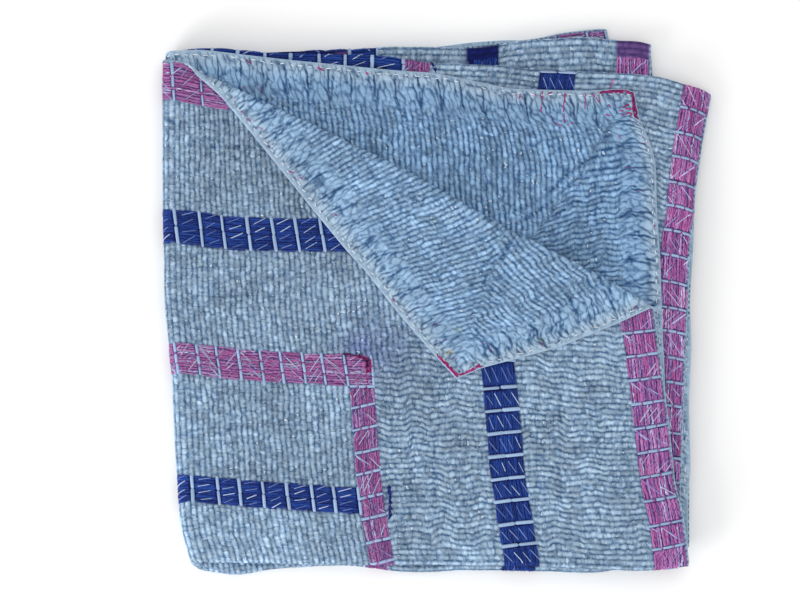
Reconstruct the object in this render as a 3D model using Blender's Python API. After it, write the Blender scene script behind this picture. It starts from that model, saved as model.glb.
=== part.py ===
import math

import bmesh
import bpy
import numpy as np

# A hand-quilted cotton throw, lying folded: in half across its length, in half across again, then in
# half along its length. One corner of the top layer is turned back. Metres, +Z up, and the origin is
# under the middle of the bundle. The throw is one closed sheet that runs through all eight layers.

MM = 0.001
SHEET_THICKNESS = 3.0 * MM
LAYER_PITCH = 3.7 * MM  # from the middle of one layer to the middle of the next
TURN_BACK_RADIUS = 2.05 * MM  # of the middle of the sheet where the corner is turned back
RIM_BULGE = 1.0 * MM  # how far the rounded edge of the sheet stands out
LAYERS_PER_HALF = 4
MIDDLE_HEIGHT = SHEET_THICKNESS / 2 + (LAYERS_PER_HALF - 0.5) * LAYER_PITCH
STACK_HEIGHT = 2 * MIDDLE_HEIGHT

# Height of each quarter of the throw's length above the middle of its half, in layer pitches.
QUARTER_LEVELS = (3, 0, 1, 2)
# The quarters run down and up by turns, so these are the signs of +Y at the crease after each one.
CREASE_SIDES = (-1, 1, -1)
# Whether the crease after each quarter has the embroidered face outside.
FACE_OUTSIDE = (1, 1, -1)

CREASE_CELLS = 6
FOLD_CELLS = 6
QUARTER_CELLS = 12
ACROSS = (0.0, 0.07, 0.15, 0.23, 0.31, 0.39, 0.47, 0.55, 0.63, 0.70, 0.77, 0.83, 0.89, 0.945, 1.0)

# The line that the lengthwise fold turns round, x and y in mm.
FOLD_AXIS = ((-268, 300), (-267, 256), (-267, 112), (-265, 5), (-257, -80), (-253, -165), (-249, -229),
             (-243, -256), (-237, -272), (-233, -300))

# Ends and creases across the throw, x and y in mm from the lengthwise fold to the side hem. The first
# name of each pair is for the upper half of the bundle and the second for the lower half.
CROSS_LINES = {
    "first_end": {
        "upper": ((-268, 260), (-260, 259), (-237, 253), (-203, 247), (-139, 246), (-35, 245), (10, 244),
                  (85, 234), (161, 221), (187, 218)),
        "lower": ((-268, 264), (-133, 268), (13, 277), (49, 282), (93, 285), (144, 281), (235, 259)),
    },
    "first_crease": {
        "upper": ((-237, -275), (-80, -278), (101, -279), (187, -283), (229, -285), (260, -283), (281, -280)),
        "lower": ((-237, -286), (-202, -291), (-165, -284), (-112, -281), (-82, -280), (-27, -287), (0, -288),
                  (37, -285), (101, -286), (187, -288), (229, -281), (283, -261)),
    },
    "middle_crease": {
        "upper": ((-268, 272), (-244, 275), (-217, 275), (-164, 270), (-57, 268), (-29, 265), (4, 259),
                  (80, 257), (121, 251), (205, 249), (252, 245), (275, 237), (299, 233), (307, 227)),
        "lower": ((-268, 268), (-197, 270), (-86, 275), (-45, 277), (4, 277), (60, 276), (91, 282),
                  (111, 285), (174, 288), (213, 284), (237, 283), (242, 280)),
    },
    "last_crease": {
        "upper": ((-237, -270), (-80, -273), (101, -274), (270, -272)),
        "lower": ((-237, -278), (-165, -276), (-27, -278), (187, -278), (276, -256)),
    },
    "last_end": {
        "upper": ((-268, 271), (-237, 272), (-196, 267), (-154, 262), (-74, 254), (-34, 250), (12, 247),
                  (69, 235), (93, 230), (174, 228), (218, 231), (223, 227)),
        "lower": ((-268, 265), (16, 274), (123, 286), (147, 292), (193, 297), (195, 296)),
    },
}

# Side hems of the four quarters, x and y in mm, from the first end of the throw to the last.
SIDE_HEMS = {
    "upper": (
        ((187, 218), (192, 192), (208, 151), (223, 110), (231, 68), (237, 36), (239, 20), (246, -27),
         (253, -81), (260, -136), (266, -197), (275, -231), (281, -280)),
        ((281, -280), (281, -205), (284, -184), (282, -109), (285, -44), (283, 2), (287, 62), (289, 121),
         (297, 175), (307, 227)),
        ((307, 227), (297, 175), (289, 121), (288, 99), (283, 66), (281, 5), (277, -80), (273, -197),
         (270, -272)),
        ((270, -272), (256, -95), (253, -27), (251, 45), (247, 103), (246, 152), (238, 180), (229, 196),
         (223, 227)),
    ),
    "lower": (
        ((235, 259), (283, -261)),
        ((283, -261), (283, -170), (282, -136), (241, 250), (242, 280)),
        ((242, 280), (276, -256)),
        ((276, -256), (213, 208), (195, 296)),
    ),
}

# The edge along which the corner is turned back: its two ends, and its bow at places along it, in mm.
TURN_START = (-260, 259)
TURN_END = (241, 0)
TURN_BOW = ((0, 0.0), (38, 1.3), (96, 3.2), (181, 5.9), (245, 7.8), (277, 7.8), (331, 4.8), (389, 2.3),
            (448, 3.2), (501, 3.6), (564, 0.0))
TURN_TAPER = 22 * MM  # over which the turned edge runs out into the end hem
TURN_CUTS = 5

# The lower half's right side, clockwise: beyond it the upper half sinks to the ground. Ends, in mm.
SUPPORT_SIDES = (((242, 250), (283, -144)), ((283, -144), (284, -256)), ((283, -260), (187, -290)))
SINK_START = 18 * MM
SINK_DEPTH = 12.5 * MM
SINK_WIDTH = 50 * MM

# Slow waves of the whole bundle: height in mm at the top, wavelength in mm, direction in degrees, phase.
WAVES = ((0.7, 410, 12, 0.4), (0.5, 330, 78, 1.9), (0.4, 260, 130, 3.1))

COTTON_BLUE = (0.30, 0.45, 0.62, 1.0)


def interpolated(points, at):
    """The points of a line in mm at these shares of its length, in metres."""
    line = np.array(points, float) * MM
    run = np.r_[0, np.cumsum(np.linalg.norm(np.diff(line, axis=0), axis=1))]
    at = np.asarray(at) * run[-1]
    return np.stack([np.interp(at, run, line[:, 0]), np.interp(at, run, line[:, 1])], axis=-1)


def axis_x(y):
    """X of the lengthwise fold's axis at y."""
    line = np.array(FOLD_AXIS[::-1], float) * MM
    return np.interp(y, line[:, 1], line[:, 0])


def crease_radius(index):
    return abs(QUARTER_LEVELS[index + 1] - QUARTER_LEVELS[index]) * LAYER_PITCH / 2


def cross_line(half, index, across):
    """Where end or crease number index lies, moved in from its outline to the line the crease turns round."""
    name = list(CROSS_LINES)[index]
    line = interpolated(CROSS_LINES[name][half], across)
    if 0 < index < LAYERS_PER_HALF:
        inward = -CREASE_SIDES[index - 1] * (crease_radius(index - 1) + SHEET_THICKNESS / 2)
        line[:, 1] += inward
    line[0, 0] = axis_x(line[0, 1])
    return line


def quarter_patch(half, quarter, across, along):
    """X and Y of the grid points of one quarter of one half, by blending its four edges."""
    first = cross_line(half, quarter, across)
    last = cross_line(half, quarter + 1, across)
    hem = interpolated(SIDE_HEMS[half][quarter], along)
    hem += np.outer(1 - along, first[-1] - hem[0]) + np.outer(along, last[-1] - hem[-1])
    fold_y = first[0, 1] + along * (last[0, 1] - first[0, 1])
    fold = np.stack([axis_x(fold_y), fold_y], axis=-1)
    a, f = across[None, :, None], along[:, None, None]
    ruled = (1 - f) * first[None] + f * last[None] + (1 - a) * fold[:, None] + a * hem[:, None]
    corners = (1 - f) * ((1 - a) * first[0] + a * first[-1]) + f * ((1 - a) * last[0] + a * last[-1])
    return ruled - corners


def half_sheet(half, across, offset):
    """One half of the throw at this offset from the middle of the sheet to its face: X, Y and the height
    above the middle of the bundle, row by row from its first end to its last, and each row's quarter."""
    rows, heights, quarters = [], [], []
    along = np.linspace(0, 1, QUARTER_CELLS + 1)
    for quarter in range(LAYERS_PER_HALF):
        patch = quarter_patch(half, quarter, across, along)
        outward = 1 if quarter % 2 == 0 else -1
        level = (QUARTER_LEVELS[quarter] + 0.5) * LAYER_PITCH + outward * offset
        for row in patch:
            rows.append(row)
            heights.append(np.full(len(across), level))
            quarters.append(quarter)
        if quarter == LAYERS_PER_HALF - 1:
            break
        centre = (QUARTER_LEVELS[quarter] + QUARTER_LEVELS[quarter + 1] + 1) / 2 * LAYER_PITCH
        rise = np.sign(QUARTER_LEVELS[quarter] - QUARTER_LEVELS[quarter + 1])
        radius = crease_radius(quarter) + FACE_OUTSIDE[quarter] * offset
        for step in range(1, CREASE_CELLS):
            angle = math.pi * step / CREASE_CELLS
            row = patch[-1].copy()
            row[:, 1] += CREASE_SIDES[quarter] * radius * math.sin(angle)
            row[:, 0] += (axis_x(row[0, 1]) - row[0, 0]) * (1 - across) ** 2
            rows.append(row)
            heights.append(np.full(len(across), centre + rise * radius * math.cos(angle)))
            quarters.append(LAYERS_PER_HALF + quarter)
    return np.array(rows), np.array(heights), quarters


def folded_sheet(offset):
    """The whole throw at this offset: points in rows from one side hem to the other."""
    across = np.array(ACROSS)
    upper, upper_height, quarters = half_sheet("upper", across, offset)
    lower, lower_height, _ = half_sheet("lower", across, offset)
    columns = []
    for i in range(len(across) - 1, -1, -1):
        columns.append(np.dstack([upper[:, i, 0], upper[:, i, 1], MIDDLE_HEIGHT + upper_height[:, i]])[0])
    for step in range(1, FOLD_CELLS):
        angle = math.pi * step / FOLD_CELLS
        share = (1 - math.cos(angle)) / 2
        y = upper[:, 0, 1] * (1 - share) + lower[:, 0, 1] * share
        x = axis_x(y) - upper_height[:, 0] * math.sin(angle)
        columns.append(np.dstack([x, y, MIDDLE_HEIGHT + upper_height[:, 0] * math.cos(angle)])[0])
    for i in range(len(across)):
        columns.append(np.dstack([lower[:, i, 0], lower[:, i, 1], MIDDLE_HEIGHT - lower_height[:, i]])[0])
    return np.stack(columns, axis=1), quarters


def rim_ring(rows, columns):
    """Grid places round the edge of the sheet, each with the place just inside it."""
    ring = [((0, c), (1, c)) for c in range(columns)]
    ring += [((r, columns - 1), (r, columns - 2)) for r in range(1, rows)]
    ring += [((rows - 1, c), (rows - 2, c)) for c in range(columns - 2, -1, -1)]
    ring += [((r, 0), (r, 1)) for r in range(rows - 2, 0, -1)]
    return ring


def folded_solid():
    """A mesh of the closed sheet, with the top quarter's faces marked in the layer named turned."""
    face_side, quarters = folded_sheet(SHEET_THICKNESS / 2)
    back_side, _ = folded_sheet(-SHEET_THICKNESS / 2)
    rows, columns = face_side.shape[:2]
    mesh = bmesh.new()
    turned = mesh.faces.layers.int.new("turned")
    grids = [[[mesh.verts.new(point) for point in row] for row in side] for side in (face_side, back_side)]
    flat_columns = len(ACROSS)
    for r in range(rows - 1):
        on_top = quarters[r] == 0 and quarters[r + 1] == 0
        for c in range(columns - 1):
            for grid, order in ((grids[0], 1), (grids[1], -1)):
                corners = [grid[r][c], grid[r + 1][c], grid[r + 1][c + 1], grid[r][c + 1]]
                face = mesh.faces.new(corners[::-order])
                face[turned] = int(on_top and c < flat_columns - 1)
    middle = (face_side + back_side) / 2
    ring = rim_ring(rows, columns)
    edge = []
    for place, inside in ring:
        outward = middle[place] - middle[inside]
        edge.append(mesh.verts.new(middle[place] + outward / np.linalg.norm(outward) * RIM_BULGE))
    for i, (place, _) in enumerate(ring):
        j = (i + 1) % len(ring)
        after = ring[j][0]
        top_row = max(place[0], after[0]) < QUARTER_CELLS + 1 and max(place[1], after[1]) < flat_columns
        for grid, order in ((grids[0], 1), (grids[1], -1)):
            corners = [grid[place[0]][place[1]], edge[i], edge[j], grid[after[0]][after[1]]]
            face = mesh.faces.new(corners[::order])
            face[turned] = int(top_row)
    return mesh


def turn_frame():
    start, end = np.array(TURN_START) * MM, np.array(TURN_END) * MM
    along = (end - start) / np.linalg.norm(end - start)
    return start, along, np.array([-along[1], along[0]])


def turn_line(along):
    """How far the turned edge's bending starts from the straight line between its ends."""
    places, bows = np.array(TURN_BOW, float).T * MM
    inset = (TURN_BACK_RADIUS + SHEET_THICKNESS / 2) * np.clip(along / TURN_TAPER, 0, 1)
    return np.interp(along, places, bows) - inset


def turn_corner_back(mesh):
    """Cuts the top layer along the edge it is turned at, then rolls what lies beyond back over it."""
    start, along, across = turn_frame()
    for vert in mesh.verts:
        place = np.array(vert.co[:2]) - start
        u = place @ along
        vert.co = (u, place @ across - turn_line(u), vert.co[2])
    turned = mesh.faces.layers.int["turned"]
    for cut in range(TURN_CUTS + 1):
        faces = [face for face in mesh.faces if face[turned]]
        edges = {edge for face in faces for edge in face.edges}
        verts = {vert for face in faces for vert in face.verts}
        level = math.pi * TURN_BACK_RADIUS * cut / TURN_CUTS
        bmesh.ops.bisect_plane(mesh, geom=faces + list(edges) + list(verts), dist=1e-6,
                               plane_co=(0, level, 0), plane_no=(0, 1, 0))
    beyond = {vert for face in mesh.faces if face[turned] for vert in face.verts}
    top = MIDDLE_HEIGHT + (LAYERS_PER_HALF - 0.5) * LAYER_PITCH
    for vert in mesh.verts:
        u, e, z = vert.co
        if vert in beyond and e > 0:
            radius = TURN_BACK_RADIUS - (z - top)
            angle = min(e / TURN_BACK_RADIUS, math.pi)
            past = max(e - math.pi * TURN_BACK_RADIUS, 0)
            e = radius * math.sin(angle) - past
            z = top + TURN_BACK_RADIUS - radius * math.cos(angle)
        place = start + along * u + across * (e + turn_line(u))
        vert.co = (place[0], place[1], z)


def sink(x, y):
    """How far the upper half has sunk at x, y, where nothing of the lower half is under it."""
    beyond = 0.0
    for start, end in np.array(SUPPORT_SIDES, float) * MM:
        run = (end - start) / np.linalg.norm(end - start)
        beyond = max(beyond, run[0] * (y - start[1]) - run[1] * (x - start[0]))
    share = min(max(beyond - SINK_START, 0) / SINK_WIDTH, 1.0)
    return SINK_DEPTH * share * share * (3 - 2 * share)


def settle(mesh):
    """Sinks the unsupported edge of the upper half, and adds the slow waves. The underside stays flat."""
    half_gap = (LAYER_PITCH - SHEET_THICKNESS) / 2
    for vert in mesh.verts:
        x, y, z = vert.co
        upper = min(max((z - MIDDLE_HEIGHT) / half_gap, 0), 1)
        wave = 0.0
        for height, length, degrees, phase in WAVES:
            turn = math.radians(degrees)
            run = (x * math.cos(turn) + y * math.sin(turn)) / (length * MM)
            wave += height * MM * math.sin(2 * math.pi * run + phase)
        lift = min(max(z / STACK_HEIGHT, 0), 1)
        vert.co[2] = z - upper * sink(x, y) + lift * lift * wave


def centre_on_origin(mesh):
    places = np.array([vert.co[:2] for vert in mesh.verts])
    middle = (places.min(axis=0) + places.max(axis=0)) / 2
    bmesh.ops.translate(mesh, verts=mesh.verts, vec=(-middle[0], -middle[1], 0))


def cotton():
    material = bpy.data.materials.new("quilted_cotton")
    material.use_nodes = True
    shader = material.node_tree.nodes["Principled BSDF"]
    shader.inputs["Base Color"].default_value = COTTON_BLUE
    shader.inputs["Roughness"].default_value = 0.9
    return material


def build():
    for obj in list(bpy.data.objects):
        bpy.data.objects.remove(obj, do_unlink=True)
    part = bpy.data.collections.new("throw_blanket")
    bpy.context.scene.collection.children.link(part)
    mesh = folded_solid()
    turn_corner_back(mesh)
    settle(mesh)
    centre_on_origin(mesh)
    bmesh.ops.triangulate(mesh, faces=mesh.faces)
    bmesh.ops.recalc_face_normals(mesh, faces=mesh.faces)
    data = bpy.data.meshes.new("throw")
    mesh.to_mesh(data)
    mesh.free()
    data.materials.append(cotton())
    part.objects.link(bpy.data.objects.new("throw", data))


build()
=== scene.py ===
import math

import bmesh
import bpy
import mathutils
import numpy as np
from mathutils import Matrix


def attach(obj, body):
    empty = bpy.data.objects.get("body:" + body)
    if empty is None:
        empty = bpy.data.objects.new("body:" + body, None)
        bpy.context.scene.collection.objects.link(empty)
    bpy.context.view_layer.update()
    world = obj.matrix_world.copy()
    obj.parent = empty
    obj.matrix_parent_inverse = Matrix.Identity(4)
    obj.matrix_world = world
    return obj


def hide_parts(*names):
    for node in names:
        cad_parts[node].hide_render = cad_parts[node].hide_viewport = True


# A hand-quilted cotton throw, folded flat, seen from straight above. The cloth is one sheet that runs
# through eight layers; its faces are meshes that follow the rows of running stitch.

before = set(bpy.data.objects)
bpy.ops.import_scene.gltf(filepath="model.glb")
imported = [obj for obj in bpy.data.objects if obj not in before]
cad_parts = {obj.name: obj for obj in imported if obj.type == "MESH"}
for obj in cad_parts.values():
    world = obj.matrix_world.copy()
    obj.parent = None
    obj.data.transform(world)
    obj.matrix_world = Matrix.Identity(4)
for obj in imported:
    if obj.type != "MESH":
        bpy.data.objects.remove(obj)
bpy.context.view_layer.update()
mm = 0.001
rng = np.random.default_rng(7)

# Cloth shape: how the flat throw is folded

fold = {
    "sheet": 3.0 * mm,  # thickness
    "pitch": 3.7 * mm,  # from one layer's middle to the next
    "turnRadius": 2.05 * mm,
    "levels": (3, 0, 1, 2),  # of each quarter, above the middle of its half
    "creaseSide": (-1, 1, -1),  # bottom, top, bottom
    "faceOutside": (1, 1, -1),
    "halfWidth": 0.55,  # of cloth, from a side hem to the lengthwise fold
    "foldLength": 0.0407,  # of cloth round the lengthwise fold
    "quarterLength": 0.533,
    "creaseLength": (0.0174, 0.0058, 0.0058),
    "tableCentre": (13.18 * mm, 2.67 * mm),  # of the tables below, in their own x and y
}

foldAxis = [(-268, 300), (-267, 256), (-267, 112), (-265, 5), (-257, -80), (-253, -165), (-249, -229),
            (-243, -256), (-237, -272), (-233, -300)]  # x, y in mm

# Ends and creases from the lengthwise fold to the side hem, x and y in mm, for each half of the pile
crossLines = {
    "upper": [
        [(-268, 260), (-260, 259), (-237, 253), (-203, 247), (-139, 246), (-35, 245), (10, 244), (85, 234),
         (161, 221), (187, 218)],
        [(-237, -275), (-80, -278), (101, -279), (187, -283), (229, -285), (260, -283), (281, -280)],
        [(-268, 272), (-244, 275), (-217, 275), (-164, 270), (-57, 268), (-29, 265), (4, 259), (80, 257),
         (121, 251), (205, 249), (252, 245), (275, 237), (299, 233), (307, 227)],
        [(-237, -270), (-80, -273), (101, -274), (270, -272)],
        [(-268, 271), (-237, 272), (-196, 267), (-154, 262), (-74, 254), (-34, 250), (12, 247), (69, 235),
         (93, 230), (174, 228), (218, 231), (223, 227)],
    ],
    "lower": [
        [(-268, 264), (-133, 268), (13, 277), (49, 282), (93, 285), (144, 281), (235, 259)],
        [(-237, -286), (-202, -291), (-165, -284), (-112, -281), (-82, -280), (-27, -287), (0, -288),
         (37, -285), (101, -286), (187, -288), (229, -281), (283, -261)],
        [(-268, 268), (-197, 270), (-86, 275), (-45, 277), (4, 277), (60, 276), (91, 282), (111, 285),
         (174, 288), (213, 284), (237, 283), (242, 280)],
        [(-237, -278), (-165, -276), (-27, -278), (187, -278), (276, -256)],
        [(-268, 265), (16, 274), (123, 286), (147, 292), (193, 297), (195, 296)],
    ],
}

# Side hems of the four quarters
sideHems = {
    "upper": [
        [(187, 218), (192, 192), (208, 151), (223, 110), (231, 68), (237, 36), (239, 20), (246, -27),
         (253, -81), (260, -136), (266, -197), (275, -231), (281, -280)],
        [(281, -280), (281, -205), (284, -184), (282, -109), (285, -44), (283, 2), (287, 62), (289, 121),
         (297, 175), (307, 227)],
        [(307, 227), (297, 175), (289, 121), (288, 99), (283, 66), (281, 5), (277, -80), (273, -197),
         (270, -272)],
        [(270, -272), (256, -95), (253, -27), (251, 45), (247, 103), (246, 152), (238, 180), (229, 196),
         (223, 227)],
    ],
    "lower": [
        [(235, 259), (283, -261)],
        [(283, -261), (283, -170), (282, -136), (241, 250), (242, 280)],
        [(242, 280), (276, -256)],
        [(276, -256), (213, 208), (195, 296)],
    ],
}

turned = {
    "start": (-260, 259),  # ends of the turned edge, mm
    "end": (241, 0),
    "bow": [(0, 0.0), (38, 1.3), (96, 3.2), (181, 5.9), (245, 7.8), (277, 7.8), (331, 4.8), (389, 2.3),
            (448, 3.2), (501, 3.6), (564, 0.0)],
    "taper": 22 * mm,
}

sag = {
    "sides": [((242, 250), (283, -144)), ((283, -144), (284, -256)), ((283, -260), (187, -290))],
    "start": 18 * mm,
    "depth": 12.5 * mm,
    "width": 50 * mm,
    "waves": [(0.7, 410, 12, 0.4), (0.5, 330, 78, 1.9), (0.4, 260, 130, 3.1)],
}

lineSamples = 241
middleHeight = fold["sheet"] / 2 + 3.5 * fold["pitch"]
stackHeight = 2 * middleHeight
clothWidth = 2 * fold["halfWidth"] + fold["foldLength"]
alongBreaks = [0.0]  # cloth lengths where each quarter and crease ends
for quarter in range(4):
    alongBreaks.append(alongBreaks[-1] + fold["quarterLength"])
    if quarter < 3:
        alongBreaks.append(alongBreaks[-1] + fold["creaseLength"][quarter])
clothLength = alongBreaks[-1]


def smoothLine(points):
    line = np.array(points, float) * mm
    run = np.r_[0, np.cumsum(np.hypot(*np.diff(line, axis=0).T))]
    at = np.linspace(0, run[-1], lineSamples)
    line = np.stack([np.interp(at, run, line[:, 0]), np.interp(at, run, line[:, 1])])
    for _ in range(26):
        line[:, 1:-1] = line[:, 1:-1] / 2 + (line[:, 2:] + line[:, :-2]) / 4
    return line


shares = np.linspace(0, 1, lineSamples)
crossSmooth = {half: [smoothLine(line) for line in crossLines[half]] for half in crossLines}
hemSmooth = {half: [smoothLine(line) for line in sideHems[half]] for half in sideHems}
axisSmooth = smoothLine(foldAxis)[:, ::-1]


def axisX(y):
    return np.interp(y, axisSmooth[1], axisSmooth[0])


def creaseRadius(crease):
    return abs(fold["levels"][crease + 1] - fold["levels"][crease]) * fold["pitch"] / 2


def crossAt(half, index, a):  # a is 0 at the lengthwise fold and 1 at the side hem
    line = crossSmooth[half][index]
    x, y = np.interp(a, shares, line[0]), np.interp(a, shares, line[1])
    inward = 0.0
    if 0 < index < 4:
        inward = fold["creaseSide"][index - 1] * (creaseRadius(index - 1) + fold["sheet"] / 2)
    x = x + (axisX(line[1, 0] - inward) - line[0, 0]) * np.clip(1 - a / 0.1, 0, 1) ** 2
    return x, y - inward


def quarterAt(half, quarter, a, f):  # blends the quarter's four edges
    fx, fy = crossAt(half, quarter, a)
    lx, ly = crossAt(half, quarter + 1, a)
    (f0x, f1x), (f0y, f1y) = crossAt(half, quarter, np.array([0.0, 1.0]))
    (l0x, l1x), (l0y, l1y) = crossAt(half, quarter + 1, np.array([0.0, 1.0]))
    hem = hemSmooth[half][quarter]
    hx = np.interp(f, shares, hem[0]) + (1 - f) * (f1x - hem[0, 0]) + f * (l1x - hem[0, -1])
    hy = np.interp(f, shares, hem[1]) + (1 - f) * (f1y - hem[1, 0]) + f * (l1y - hem[1, -1])
    ay = f0y + f * (l0y - f0y)
    ax = axisX(ay)
    x = (1 - f) * fx + f * lx + (1 - a) * ax + a * hx
    y = (1 - f) * fy + f * ly + (1 - a) * ay + a * hy
    x = x - (1 - f) * ((1 - a) * f0x + a * f1x) - f * ((1 - a) * l0x + a * l1x)
    y = y - (1 - f) * ((1 - a) * f0y + a * f1y) - f * ((1 - a) * l0y + a * l1y)
    return x, y


def halfAt(half, a, t, lift):  # x, y and height from the middle of the pile
    x, y, height = np.zeros_like(t), np.zeros_like(t), np.zeros_like(t)
    for part in range(7):
        low, high = alongBreaks[part], alongBreaks[part + 1]
        here = (t >= low) & ((t < high) | (part == 6))
        if not here.any():
            continue
        f = np.clip((t[here] - low) / (high - low), 0, 1)
        quarter = part // 2
        if part % 2 == 0:
            x[here], y[here] = quarterAt(half, quarter, a[here], f)
            outward = 1 if quarter % 2 == 0 else -1
            height[here] = (fold["levels"][quarter] + 0.5) * fold["pitch"] + outward * lift[here]
            continue
        side, levels = fold["creaseSide"][quarter], fold["levels"][quarter:quarter + 2]
        radius = creaseRadius(quarter) + fold["faceOutside"][quarter] * lift[here]
        cx, cy = crossAt(half, quarter + 1, a[here])
        x0, y0 = crossAt(half, quarter + 1, np.zeros(1))
        reach = side * radius * np.sin(math.pi * f)
        x[here] = cx + (axisX(y0 + reach) - x0) * (1 - a[here]) ** 2
        y[here] = cy + reach
        rise = np.sign(levels[0] - levels[1])
        height[here] = (sum(levels) + 1) / 2 * fold["pitch"] + rise * radius * np.cos(math.pi * f)
    return x, y, height


turnStart, turnEnd = np.array(turned["start"]) * mm, np.array(turned["end"]) * mm
turnAlong = (turnEnd - turnStart) / np.linalg.norm(turnEnd - turnStart)
turnAcross = np.array([-turnAlong[1], turnAlong[0]])
bowSmooth = smoothLine(turned["bow"])


def turnPlace(x, y):  # along the turned edge, and beyond it
    u = (x - turnStart[0]) * turnAlong[0] + (y - turnStart[1]) * turnAlong[1]
    e = (x - turnStart[0]) * turnAcross[0] + (y - turnStart[1]) * turnAcross[1]
    line = np.interp(u, bowSmooth[0], bowSmooth[1])
    line = line - (fold["turnRadius"] + fold["sheet"] / 2) * np.clip(u / turned["taper"], 0, 1)
    return u, e - line, line


def settled(x, y, z):  # sinks what overhangs the lower half, and adds slow waves
    beyond = np.zeros_like(x)
    for start, end in np.array(sag["sides"], float) * mm:
        run = (end - start) / np.linalg.norm(end - start)
        beyond = np.maximum(beyond, run[0] * (y - start[1]) - run[1] * (x - start[0]))
    share = np.clip((beyond - sag["start"]) / sag["width"], 0, 1)
    upper = np.clip((z - middleHeight) / ((fold["pitch"] - fold["sheet"]) / 2), 0, 1)
    wave = np.zeros_like(x)
    for height, length, degrees, phase in sag["waves"]:
        turn = math.radians(degrees)
        run = (x * math.cos(turn) + y * math.sin(turn)) / (length * mm)
        wave += height * mm * np.sin(2 * math.pi * run + phase)
    lifted = np.clip(z / stackHeight, 0, 1)
    return z - upper * sag["depth"] * share * share * (3 - 2 * share) + lifted * lifted * wave


def onCloth(s, t, lift):  # cloth width, cloth length, height over the sheet's middle on its face side
    s, t, lift = (np.array(v, float) for v in np.broadcast_arrays(s, t, lift))
    shape = s.shape
    s, t, lift = s.ravel(), t.ravel(), lift.ravel()
    half, bend = fold["halfWidth"], fold["foldLength"]
    aUpper = np.clip(1 - s / half, 0, 1)
    aLower = np.clip((s - half - bend) / half, 0, 1)
    ux, uy, uh = halfAt("upper", aUpper, t, lift)
    lx, ly, lh = halfAt("lower", aLower, t, lift)
    angle = np.clip((s - half) / bend, 0, 1) * math.pi
    inBend = (s > half) & (s < half + bend)
    lower = s >= half + bend
    share = (1 - np.cos(angle)) / 2
    by = uy * (1 - share) + ly * share
    x = np.where(inBend, axisX(by) - uh * np.sin(angle), np.where(lower, lx, ux))
    y = np.where(inBend, by, np.where(lower, ly, uy))
    z = middleHeight + np.where(inBend, uh * np.cos(angle), np.where(lower, -lh, uh))
    u, e, line = turnPlace(x, y)
    rolled = (s <= half) & (t <= alongBreaks[1]) & (e > 0)
    top = middleHeight + 3.5 * fold["pitch"]
    radius = fold["turnRadius"] - (z - top)
    roll = np.minimum(e / fold["turnRadius"], math.pi)
    past = np.maximum(e - math.pi * fold["turnRadius"], 0)
    over = line + radius * np.sin(roll) - past
    x = np.where(rolled, turnStart[0] + turnAlong[0] * u + turnAcross[0] * over, x)
    y = np.where(rolled, turnStart[1] + turnAlong[1] * u + turnAcross[1] * over, y)
    z = np.where(rolled, top + fold["turnRadius"] - radius * np.cos(roll), z)
    z = settled(x, y, z)
    points = np.stack([x - fold["tableCentre"][0], y - fold["tableCentre"][1], z], axis=-1)
    return points.reshape(shape + (3,))


# Rows of running stitch, which the cloth's mesh follows

quilting = {
    "blocksAcross": (55, 4, 55),  # of mesh, over half the width, the fold and the other half
    "blocksAlong": (53, 2, 53, 1, 53, 1, 53),  # over the quarters and creases
    "foldSpan": 2,  # steps of one cell round the fold, and round each crease
    "creaseSpans": (2, 1, 1),
    "stepsPerBlock": 8,
    "stepsPerRow": 5,  # so a row of stitches is about 6 mm wide
    "turnAt": 0.347,  # from a side hem: nearer than this the rows run towards that hem
    "ridge": 0.42 * mm,
    "valley": 0.80 * mm,
    "shoulder": 0.25,  # height between a ridge and a valley, as a share of the ridge
    "beadSteps": 2.8,
    "crossSteps": 5.6,
    "jitter": 0.55 * mm,  # of each valley, from stitch to stitch
    "drift": 0.9 * mm,  # slow wandering of the rows
    "zigzag": {"across": (3.2 * mm, 1.1 * mm), "along": (1.1 * mm, 0.6 * mm)},  # long and short
    "lump": 0.42 * mm,
    "mitrePucker": 0.7 * mm,
    "rimBulge": 1.1 * mm,
    "border": 0.042,  # on the back, where the hem bands leave puffed cells in place of rows
    "fan": 0.2,  # how far the rows of the corner's back bend towards its mitre
}


def meshLines(lengths, blocks):
    lines = [0.0]
    for length, count in zip(lengths, blocks):
        steps = count * quilting["stepsPerBlock"]
        lines.extend(lines[-1] + length * np.arange(1, steps + 1) / steps)
    return np.array(lines)


def softNoise(x, y, cell, seed):  # smooth random heights from -1 to 1
    grid = np.random.default_rng(seed).uniform(-1, 1, (64, 64))
    u, v = x / cell, y / cell
    i, j = np.floor(u).astype(int), np.floor(v).astype(int)
    fu, fv = u - i, v - j
    fu, fv = fu * fu * (3 - 2 * fu), fv * fv * (3 - 2 * fv)
    low = grid[i % 64, j % 64] * (1 - fu) + grid[(i + 1) % 64, j % 64] * fu
    high = grid[i % 64, (j + 1) % 64] * (1 - fu) + grid[(i + 1) % 64, (j + 1) % 64] * fu
    return low * (1 - fv) + high * fv


def smoothStep(low, high, value):
    share = np.clip((value - low) / (high - low), 0, 1)
    return share * share * (3 - 2 * share)


sAt = meshLines((fold["halfWidth"], fold["foldLength"], fold["halfWidth"]), quilting["blocksAcross"])
tAt = meshLines(np.diff(alongBreaks), quilting["blocksAlong"])
blockSteps, rowSteps = quilting["stepsPerBlock"], quilting["stepsPerRow"]
blockCount = (len(sAt) // blockSteps, len(tAt) // blockSteps)
foldBlocks = range(quilting["blocksAcross"][0], sum(quilting["blocksAcross"][:2]))
creaseSteps = {}  # blocks in creases, and the steps of a cell round them
for crease, span in enumerate(quilting["creaseSpans"]):
    firstBlock = sum(quilting["blocksAlong"][:2 * crease + 1])
    for block in range(firstBlock, firstBlock + quilting["blocksAlong"][2 * crease + 1]):
        creaseSteps[block] = span


def nearestValley(line):  # between two rows of stitches
    return (line + rowSteps // 2) // rowSteps


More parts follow.
